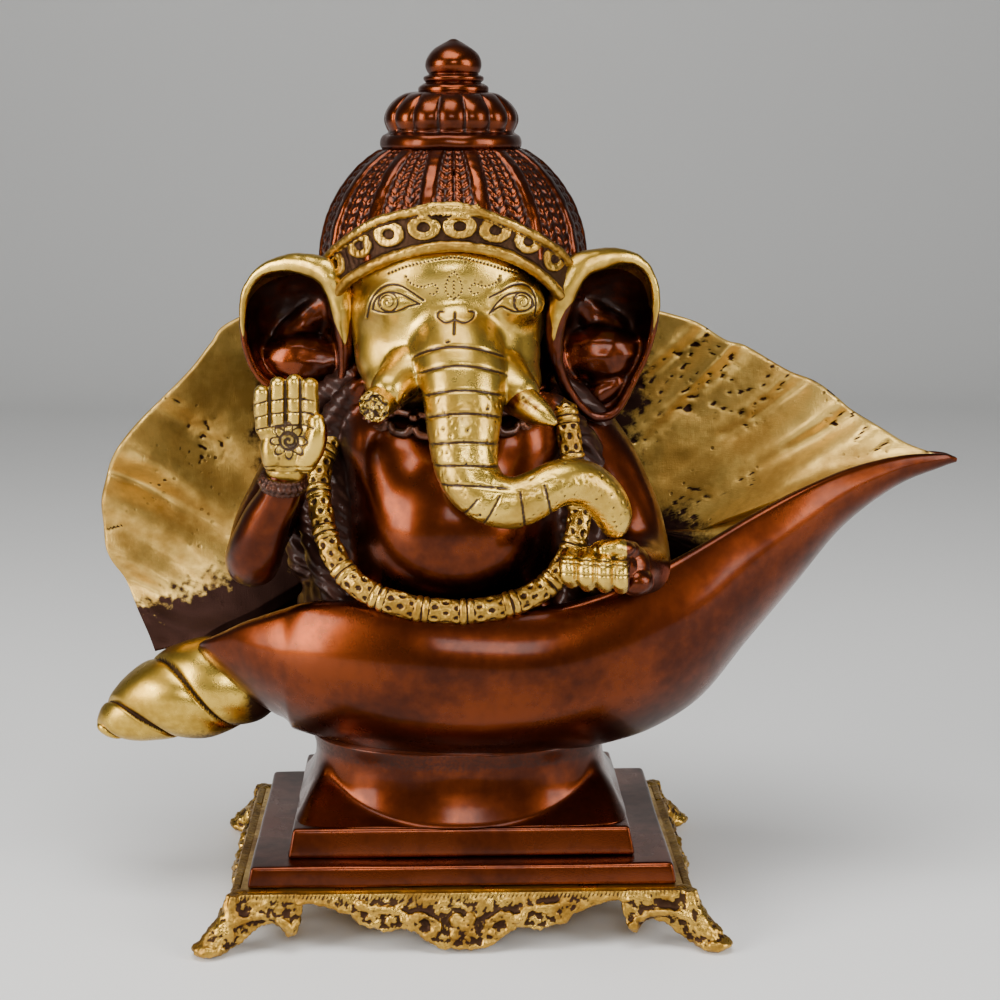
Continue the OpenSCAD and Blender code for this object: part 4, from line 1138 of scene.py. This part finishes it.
def makeCrownDome():
    curve = smoothPath(crownSetup["profile"], 10)
    cx, cy = bandSetup["axis"]
    front = {"height": 235.6, "slope": 0.47}

    def place(u, v):
        row = readPath(curve, v)
        angle = u * 2 * math.pi
        # distance across each gap between two ribs
        share = (angle / (2 * math.pi) * crownSetup["ribs"]) % 1.0 - 0.5
        width = 2 * math.pi * row[:, 0] / crownSetup["ribs"]
        fromRib = np.abs(share) * width
        rib = crownSetup["ribHeight"] * np.clip(1 - (fromRib / crownSetup["ribWidth"]) ** 3, 0, 1) ** 0.5
        across = np.clip((fromRib - crownSetup["ribWidth"]) / (width / 2 - crownSetup["ribWidth"]), 0, 1)
        # two plaited cords in each half of a gap, slanting opposite ways
        cord = across * 2 % 1.0
        slant = np.where(across < 0.5, cord, 1 - cord) * 0.8
        rounded = np.sin(math.pi * cord) ** 0.5
        beads = 0.5 + 0.5 * np.cos(2 * math.pi * (v * 74 / crownSetup["pitch"] + slant))
        plait = (crownSetup["plait"] * rounded * (0.3 + 0.7 * beads ** 0.7)
                 * (fromRib > crownSetup["ribWidth"]))
        fade = np.clip((1 - v) * 16, 0, 1)
        radius = row[:, 0] - 1.2 + (rib + plait) * fade
        x = cx + radius * np.sin(angle)
        y = cy - radius * np.cos(angle)
        return np.stack([x, y, row[:, 1]], axis=-1)

    bm = formSheet(470, 150, place)
    # the dome is cut off along the brow, where the head carries it
    bmesh.ops.bisect_plane(bm, geom=list(bm.verts) + list(bm.edges) + list(bm.faces),
                           plane_co=(0, cy - 46, front["height"]), plane_no=(0, front["slope"], 1),
                           clear_inner=True)
    bmesh.ops.holes_fill(bm, edges=bm.edges, sides=0)
    bmesh.ops.recalc_face_normals(bm, faces=bm.faces)
    mesh = toMesh(bm)
    points = readPoints(mesh)
    around = np.hypot(points[:, 0] - cx, points[:, 1] - cy)
    dimple = wobble(points, 0.35, 0.2, 21)
    press(mesh, dimple * (around > 20))
    hollow = findHollows(mesh, 7, 0.34)
    # the dome's lower front, behind the headband, is darkened: painted shade
    foot = np.clip((234 - points[:, 2]) / 14, 0, 1) * np.clip((-points[:, 1] - 6) / 14, 0, 1)
    paint(mesh, "patinaAndShade", np.maximum(hollow * 1.25, foot * 0.8))
    finishPiece("crownDome", mesh, brownPatina, ["crown_dome"])


makeCrownDome()

bulbSetup = {
    "profile": [(17, 266.2), (22, 266.6), (24.2, 268), (24.6, 270), (23.8, 272), (21.9, 273.2),
                (22.6, 274.8), (23.4, 277), (23.2, 279.4), (21.8, 282), (19.4, 284.4), (16.4, 286.2),
                (12.5, 286.9), (10, 287)],
    "lobes": 15, "lobeDepth": 1.9,
}
finialSetup = {
    "profile": [(8, 285.6), (11, 285.8), (12.1, 287), (12, 288.6), (10.6, 289.6), (9.6, 290), (10.3, 290.9),
                (10.2, 292), (8.6, 292.8), (9.1, 293.8), (9.7, 295.6), (9.5, 297.6), (8.3, 299.8),
                (6.2, 301.8), (3.9, 303.2), (2.2, 304.1), (1.0, 304.75), (0.02, 304.9)],
    "centre": (-1.4, 3.0),
}


def makeCrownTop():
    cx, cy = bandSetup["axis"]
    curve = smoothPath(bulbSetup["profile"], 8)

    def placeBulb(u, v):
        row = readPath(curve, v)
        angle = u * 2 * math.pi
        lobe = np.abs(np.cos(angle * bulbSetup["lobes"] / 2)) ** 0.5
        window = np.clip((row[:, 1] - 272.8) / 1.5, 0, 1) * np.clip((286.8 - row[:, 1]) / 3.5, 0, 1)
        radius = row[:, 0] - bulbSetup["lobeDepth"] * (1 - lobe) * window
        return np.stack([cx - 0.6 + radius * np.sin(angle), cy - radius * np.cos(angle), row[:, 1]], axis=-1)

    mesh = toMesh(formSheet(300, 90, placeBulb))
    points = readPoints(mesh)
    press(mesh, wobble(points, 0.15, 0.3, 22))
    paint(mesh, "patinaAndShade", findHollows(mesh, 8, 0.34) * 1.15)
    finishPiece("crownBulb", mesh, brownPatina, ["crown_bulb"])

    tip = smoothPath(finialSetup["profile"], 8)
    fx, fy = finialSetup["centre"]

    def placeFinial(u, v):
        row = readPath(tip, v)
        angle = u * 2 * math.pi
        return np.stack([fx + row[:, 0] * np.sin(angle), fy - row[:, 0] * np.cos(angle), row[:, 1]], axis=-1)

    mesh = toMesh(formSheet(120, 110, placeFinial))
    points = readPoints(mesh)
    press(mesh, wobble(points, 0.2, 0.25, 23))
    paint(mesh, "patinaAndShade", findHollows(mesh, 7, 0.3) * 1.2)
    finishPiece("crownFinial", mesh, brownPatina, ["crown_finial"])


makeCrownTop()
print("crown done")

bodySetup = {
    # centre, half sizes
    "lumps": [
        ((-2, -13.5, 138.5), (36.5, 36.5, 35)), ((-2, -4, 112), (38, 34, 22)), ((-2, 0, 160), (34, 26, 22)),
        ((-21, -20, 168), (19.5, 19.5, 17)), ((17, -20, 168), (19.5, 19.5, 17)),
        ((-40, 5, 170), (16, 14, 14)), ((36, 5, 170), (16, 14, 14)), ((-2, 8, 176), (27, 20, 18)),
        ((-2, 16, 150), (33, 22, 38)), ((-2, 14, 112), (36, 26, 28)), ((-34, -4, 103), (25, 26, 22)),
        ((30, -4, 103), (25, 26, 22)), ((-30, 14, 190), (14, 12, 18)), ((26, 14, 190), (14, 12, 18)),
        ((-19, -19, 157), (19, 22, 17)), ((15, -19, 157), (19, 22, 17)), ((-2, -22, 160), (18, 18, 16)),
        ((-39, -4, 138), (15, 20, 38)), ((37, -4, 138), (15, 20, 38)),
    ],
    # the shawl over both shoulders, as x, y, z and radius
    "shawl": [
        [(-29, -26, 192, 4), (-36, -22, 186, 5), (-42, -18, 178, 5.5), (-48, -16, 166, 5.5),
         (-52, -12, 152, 6), (-50, -16, 138, 6.5), (-46, -22, 126, 7), (-40, -26, 114, 7)],
        [(-36, -14, 192, 4.5), (-46, -8, 184, 5), (-53, -4, 172, 5.5), (-60, 2, 158, 5.5),
         (-58, 4, 140, 6.5), (-54, 2, 122, 8)],
        [(27, -26, 186, 4), (34, -22, 180, 5), (40, -16, 172, 5.5), (46, -12, 162, 5.5), (48, -14, 150, 6),
         (46, -20, 138, 6.5), (42, -26, 126, 7), (36, -30, 114, 7)],
        [(34, -12, 188, 4.5), (44, -6, 180, 5), (52, -2, 168, 5.5), (56, 2, 154, 6), (54, 0, 138, 6.5),
         (52, -2, 122, 8)],
    ],
}


def makeTorso():
    bm = bmesh.new()
    for centre, size in bodySetup["lumps"]:
        ball(bm, centre, size, detail=4)
    for band in bodySetup["shawl"]:
        roll(bm, band, steps=8, detail=2)
    mesh = melt(bm, 1.0, rubs=30)
    points = readPoints(mesh)
    soft = np.clip((-points[:, 1] - 14) / 8, 0, 1) * np.clip((38 - np.abs(points[:, 0] + 2)) / 6, 0, 1)
    movePoints(mesh, points + (relax(mesh, 60) - points) * soft[:, None])
    points = readPoints(mesh)
    # the cloth is chased with fine ridges and the seat is left rough
    belly, bellySize = bodySetup["lumps"][0]
    fromBelly = np.sqrt(((points - belly) ** 2).sum(1)) - bellySize[0]
    chest = np.minimum.reduce([np.linalg.norm((points - (x, -20, 163)) / (1, 1, 1.2), axis=1)
                               for x in (-21, -2, 17)]) - 19
    aside = np.clip((np.abs(points[:, 0] + 2) - 31) / 6, 0, 1)
    cloth = np.clip(np.minimum(fromBelly, chest) - 0.6, 0, 2) / 2 * (points[:, 1] < 12) * aside
    ridges = np.sin(points[:, 2] * 1.3 + points[:, 0] * 0.7 + wobble(points, 0.08, 5, 31)) * 0.35
    press(mesh, cloth * ridges + wobble(points, 0.04, 0.6, 32))
    patinaAndShade = findHollows(mesh, 10, 0.9) * 0.8 + cloth * (0.35 + wobble(points, 0.1, 0.7, 33))
    # the seat and the sides between the arms and the belly are darkened: painted shade
    low = np.clip((112 - points[:, 2]) / 10, 0, 1)
    paint(mesh, "patinaAndShade", np.maximum.reduce([patinaAndShade, low, aside * 0.85 + patinaAndShade * 0.2]))
    finishPiece("torso", mesh, brownPatina, ["torso"])


makeTorso()

armSetup = {
    "right": {
        "path": [(-46, 4, 170, 13), (-54, -3, 160, 12.6), (-62, -10, 149, 11.6), (-68, -17, 139, 10.4),
                 (-71, -24, 131, 9.6), (-71, -31, 130, 9.4), (-68, -37, 137, 9.2), (-64.4, -41, 146, 8.2),
                 (-61, -44, 153, 7.1), (-59, -45.5, 159, 6.2)],
    },
    "left": {
        "path": [(43, 4, 170, 12.6), (49.5, -2, 161, 12), (55.5, -8, 151, 11), (60.5, -14, 141, 10.2),
                 (63, -21, 132, 9.8), (63, -29, 127.4, 9.6), (62.4, -36, 126.6, 9.2),
                 (60.5, -42, 127.8, 8.6), (58, -47, 129.4, 7.8)],
    },
}


def makeArm(side):
    setup = armSetup[side]
    bm = bmesh.new()
    roll(bm, setup["path"], steps=10, detail=3)
    mesh = melt(bm, 0.85, rubs=8)
    points = readPoints(mesh)
    press(mesh, wobble(points, 0.06, 0.7, 34))
    # the low bend of the elbow and the arm's back side are darkened: painted shade, over the patina in its
    # hollows
    low = np.clip((132 - points[:, 2]) / 12, 0, 1) * 0.8
    patinaAndShade = findHollows(mesh, 8, 0.7) * 0.6 + low + np.clip((points[:, 1] + 12) / 10, 0, 1) * 0.8
    paint(mesh, "patinaAndShade", patinaAndShade)
    finishPiece(side + "Arm", mesh, brownPatina, [side + "_arm"])


makeArm("right")
makeArm("left")

palmSetup = {
    "lumps": [((-56.6, -48.3, 170), (8.4, 5, 8.6)), ((-57.3, -49, 176.5), (9.4, 4.6, 6)),
              ((-57.6, -46.8, 163.5), (6.8, 5.4, 6)), ((-62, -49.2, 170), (4, 4.6, 7)),
              ((-50.8, -50.2, 170.5), (3.8, 4.2, 6))],
    # each finger: root, middle, tip
    "fingers": [
        [(-64.4, -50, 178, 3), (-64.8, -50.6, 184.6, 2.9), (-64.6, -51.4, 189.6, 2.7)],
        [(-59.4, -50.3, 178.6, 3.05), (-59.6, -51, 186.4, 3), (-59.4, -51.9, 192.4, 2.8)],
        [(-54.3, -50.4, 178.6, 3.05), (-54.2, -51.1, 186.4, 3), (-54, -52, 193.2, 2.8)],
        [(-49.4, -50.2, 178, 3), (-49.1, -50.8, 185.4, 2.9), (-48.9, -51.6, 192, 2.7)],
        [(-51.2, -50, 166.5, 4), (-48.2, -52.4, 172, 3.9), (-46.8, -53.4, 177, 3.4),
         (-47, -53.6, 180.6, 2.7)],
    ],
    "lotus": (-56.2, 174.0),
}


def makePalm():
    bm = bmesh.new()
    for centre, size in palmSetup["lumps"]:
        ball(bm, centre, size, detail=3)
    for finger in palmSetup["fingers"]:
        roll(bm, finger, steps=10, detail=3)
    mesh = melt(bm, 0.38, rubs=5, rubbing=0.4)
    points = readPoints(mesh)
    flat = points[:, [0, 2]]
    front = np.clip((-readNormals(mesh)[:, 1] - 0.05) * 3, 0, 1)
    cx, cz = palmSetup["lotus"]
    r = np.hypot(flat[:, 0] - cx, flat[:, 1] - cz)
    a = np.arctan2(flat[:, 1] - cz, flat[:, 0] - cx)
    # an engraved lotus: a coil in the middle, eight petals round it
    coil = np.exp(-(((r - 0.35 * (a + math.pi)) % 2.2 - 1.1) / 0.42) ** 2) * (r < 2.4)
    petalEdge = 3.4 + 2.6 * np.abs(np.cos(4 * a))
    petals = np.exp(-((r - petalEdge) / 0.32) ** 2)
    ring = np.exp(-((r - 2.9) / 0.34) ** 2)
    lines = np.maximum.reduce([coil, petals, ring]) * (flat[:, 1] < 180.5) * (flat[:, 1] > 166)
    for z, tilt in ((179.2, 0.05), (183.4, 0.06), (187.8, 0.05)):
        height = z + tilt * (flat[:, 0] + 57) - 0.012 * (flat[:, 0] + 57) ** 2
        lines = np.maximum(lines, np.exp(-((flat[:, 1] - height) / 0.34) ** 2) * (flat[:, 0] < -47.6))
    between = 0
    for x in (-62.4, -57.2, -52.2):
        between = np.maximum(between,
                             np.exp(-((flat[:, 0] - x - 0.02 * (flat[:, 1] - 180)) / 0.5) ** 2)
                             * (flat[:, 1] > 178.5))
    wrist = np.exp(-((flat[:, 1] - 165.2) / 0.35) ** 2) + np.exp(-((flat[:, 1] - 163.6) / 0.3) ** 2)
    lines = np.clip(np.maximum(lines, between) + wrist * 0.6, 0, 1) * front
    press(mesh, -0.45 * lines + wobble(points, 0.25, 0.2, 35))
    cup = np.clip((7.6 - r) / 2.5, 0, 1) * 0.42 * front + wobble(points, 0.4, 0.3, 39) * front
    paint(mesh, "patinaAndShade", np.maximum(lines * 1.05, findHollows(mesh, 7, 0.4)) + cup)
    side = np.clip(1.2 + (-readNormals(mesh)[:, 1]) * 2.4, 0, 1)
    paint(mesh, "gilt", side * np.clip((-points[:, 0] - 43.6) / 1.6, 0.25, 1))
    finishPiece("rightHand", mesh, brassAndBrown, ["right_hand"])


makePalm()


braceletSetup = {
    "centre": (-58.8, -45.8, 159.2), "tilt": (14, 6, 0),
    # height, number of beads, radius of the row and of its beads
    "rows": [(-1.9, 26, 6.9, 0.95), (0, 20, 7.3, 1.3), (1.9, 26, 6.9, 0.95)],
    # the solid ring behind each row: balls, how far inside the beads, ball radius
    "backing": (60, 0.7, 1.0),
}


def makeBracelet():
    bm = bmesh.new()
    centre = Vector(braceletSetup["centre"])
    tilt = Euler([math.radians(a) for a in braceletSetup["tilt"]]).to_matrix()
    backs, inset, backSize = braceletSetup["backing"]

    def ringOf(count, radius, height, size, detail):
        for a in np.linspace(0, 2 * math.pi, count, endpoint=False):
            spot = Vector((radius * math.cos(a), radius * math.sin(a), height))
            ball(bm, centre + tilt @ spot, size, detail=detail)

    for height, count, radius, size in braceletSetup["rows"]:
        ringOf(count, radius, height, size, 2)
        ringOf(backs, radius - inset, height, backSize, 1)
    mesh = melt(bm, 0.36, rubs=2, rubbing=0.4)
    paint(mesh, "patinaAndShade", findHollows(mesh, 6, 0.35) * 1.2)
    finishPiece("rightBracelet", mesh, darkPatina, ["right_bracelet"])


makeBracelet()

fistSetup = {
    "lumps": [((56, -50, 130.5), (7.6, 7.5, 8)), ((50, -54, 131.5), (9, 7, 7)), ((43, -56, 133), (8, 6, 6)),
              ((58, -54, 126.5), (6, 6, 5)), ((50, -57, 138.2), (7.5, 4.4, 3.4))],
    "fingers": [
        [(35.4, -57.5, 136.2, 2.9), (34.8, -62, 135, 3), (34.9, -63.8, 131.4, 2.9), (36, -61.4, 128.6, 2.7)],
        [(41, -58, 136, 3.1), (40.6, -63.2, 134.7, 3.2), (40.5, -65, 130.8, 3.1), (41.4, -62.4, 127.8, 2.8)],
        [(46.8, -58, 135.2, 3.1), (46.4, -63.2, 134, 3.2), (46.3, -64.8, 130.2, 3.1),
         (47, -62.2, 127.4, 2.8)],
        [(52.4, -57.4, 134, 3), (52.2, -62, 132.6, 3.1), (52, -63.4, 129.2, 3), (52.6, -61.2, 126.6, 2.7)],
        [(56, -54, 137, 3.2), (51.5, -58, 138.8, 2.9), (46.8, -60, 138.6, 2.4)],
    ],
}


def makeFist():
    bm = bmesh.new()
    for centre, size in fistSetup["lumps"]:
        ball(bm, centre, size, detail=3)
    for finger in fistSetup["fingers"]:
        roll(bm, finger, steps=10, detail=3)
    mesh = melt(bm, 0.4, rubs=5, rubbing=0.4)
    points = readPoints(mesh)
    hollow = findHollows(mesh, 7, 0.42)
    knuckle = points[:, 2] + 0.06 * (points[:, 0] - 43)
    rings = sum(np.exp(-((knuckle - z) / 0.28) ** 2) for z in (136.2, 134.8, 131.6)) * (points[:, 1] < -60)
    press(mesh, wobble(points, 0.25, 0.25, 36) - rings * 0.25)
    paint(mesh, "patinaAndShade", np.maximum(hollow * 1.2, rings * 0.8))
    paint(mesh, "gilt", np.clip((55.5 - points[:, 0]) / 2.5, 0, 1) * np.clip((-points[:, 1] - 54) / 3, 0, 1))
    finishPiece("leftHand", mesh, brassAndBrown, ["left_hand"])


makeFist()
print("figure done")

garlandSetup = {
    "path": [(-39, -12, 178), (-46.6, -22, 165), (-48, -29, 154), (-46.4, -36, 143), (-43, -41, 134),
             (-37.4, -45, 126.4), (-29, -48.5, 121), (-18, -50.5, 117.8), (-6, -51.5, 116.2),
             (6, -51.5, 116.4), (18, -50, 118.6), (27, -47.5, 122.4), (33.5, -45.5, 128.6),
             (38, -42.5, 137), (40.2, -38, 146.5), (39.6, -34, 156), (37.8, -31, 166), (36.6, -28, 176),
             (35.6, -24, 184)],
    "radius": 4.3, "ring": 15.0,
}


def makeGarland():
    curve = smoothPath(garlandSetup["path"], 8)
    lengths = np.r_[0, np.cumsum(np.linalg.norm(np.diff(curve, axis=0), axis=1))]
    total = lengths[-1]

    def place(u, v):
        at = u * total
        where = np.stack([np.interp(at, lengths, curve[:, k]) for k in range(3)], axis=-1)
        ahead = np.stack([np.interp(np.clip(at + 0.8, 0, total), lengths, curve[:, k])
                          - np.interp(np.clip(at - 0.8, 0, total), lengths, curve[:, k]) for k in range(3)],
                         axis=-1)
        ahead /= np.linalg.norm(ahead, axis=1)[:, None]
        side = np.cross(ahead, [0.0, -1.0, 0.0])
        side /= np.linalg.norm(side, axis=1)[:, None]
        deep = np.cross(side, ahead)
        angle = v * 2 * math.pi
        pitch = garlandSetup["ring"]
        phase = at % pitch
        collar = np.exp(-((phase - 1.6) / 0.9) ** 4) + 0.85 * np.exp(-((phase - 4.3) / 0.75) ** 4)
        collar = collar - 0.5 * sum(np.exp(-((phase - edge) / 0.3) ** 2) for edge in (0.4, 2.95, 5.5))
        # punched rings between the collars, staggered round the rope
        rowStep, turnStep = 3.7, math.pi / 3
        row = np.round((phase - 7.2) / rowStep)
        turnShift = np.where(row % 2 == 0, 0, turnStep / 2)
        da = ((angle + turnShift + turnStep / 2) % turnStep - turnStep / 2) * garlandSetup["radius"]
        ds = phase - 7.2 - row * rowStep
        spot = np.hypot(da, ds)
        punched = np.where((row >= 0) & (row <= 2),
                           np.exp(-(spot / 1.1) ** 4) - 0.3 * np.exp(-((spot - 1.75) / 0.35) ** 2), 0)
        radius = garlandSetup["radius"] * (0.93 + 0.1 * collar) - 0.75 * punched
        radius = radius * np.clip(np.minimum(u, 1 - u) * 60, 0.001, 1)
        flatten = 0.86
        return (where + side * (radius * np.cos(angle))[:, None]
                + deep * (radius * flatten * np.sin(angle))[:, None])

    mesh = toMesh(formSheet(620, 60, place))
    points = readPoints(mesh)
    press(mesh, wobble(points, 0.3, 0.35, 41))
    rubbed = wobble(points, 0.8, 0.6, 40) + wobble(points, 0.2, 0.3, 43)
    # the rope darkens where it turns back towards the body: painted shade; hollows hold patina, rubbed spots
    # wear
    paint(mesh, "patinaAndShade", findHollows(mesh, 5, 0.16) * 1.7 + np.clip((points[:, 1] + 38) / 14, 0, 1) * 0.3
          + rubbed * 0.6)
    finishPiece("garland", mesh, frameBrass, ["garland"])


makeGarland()


necklaceSetup = {
    # half width and half depth of the cord's oval, and how far it sinks in front
    "middle": -2, "halfWidth": 38, "halfDepth": 44, "sink": 6,
    "cordReach": 66, "cordSize": 2.0,
    "scallops": 9, "beads": 13, "beadReach": 60, "beadSize": 1.6, "drop": 5.6,
}


# a place on the necklace at an angle round the neck, stood out from the oval
def onNecklace(angle, out, back, height):
    x = necklaceSetup["middle"] + (necklaceSetup["halfWidth"] + out) * math.sin(angle)
    y = back - (necklaceSetup["halfDepth"] + out) * math.cos(angle)
    return x, y, height - necklaceSetup["sink"] * math.cos(angle)


def makeNecklace():
    bm = bmesh.new()
    # looped beads hang in scallops from a cord under the cheeks
    for step in np.linspace(-necklaceSetup["cordReach"], necklaceSetup["cordReach"], 120):
        ball(bm, onNecklace(math.radians(step), 0, 3, 186.5), necklaceSetup["cordSize"], detail=1)
    scallops, reach = necklaceSetup["scallops"], necklaceSetup["beadReach"]
    for k in range(scallops):
        for t in np.linspace(-1, 1, necklaceSetup["beads"]):
            angle = math.radians(-reach + 2 * reach * (k + 0.5 + t * 0.46) / scallops)
            drop = necklaceSetup["drop"] * (1 - t ** 4) ** 0.6 + 0.6
            place = onNecklace(angle, 1.2 + drop * 0.16, 2.5, 186 - drop)
            ball(bm, place, necklaceSetup["beadSize"], detail=2)
    mesh = melt(bm, 0.45, rubs=3, rubbing=0.4)
    paint(mesh, "patinaAndShade", findHollows(mesh, 6, 0.4))
    finishPiece("necklace", mesh, darkPatina, ["necklace"])


makeNecklace()
print("ornaments done")
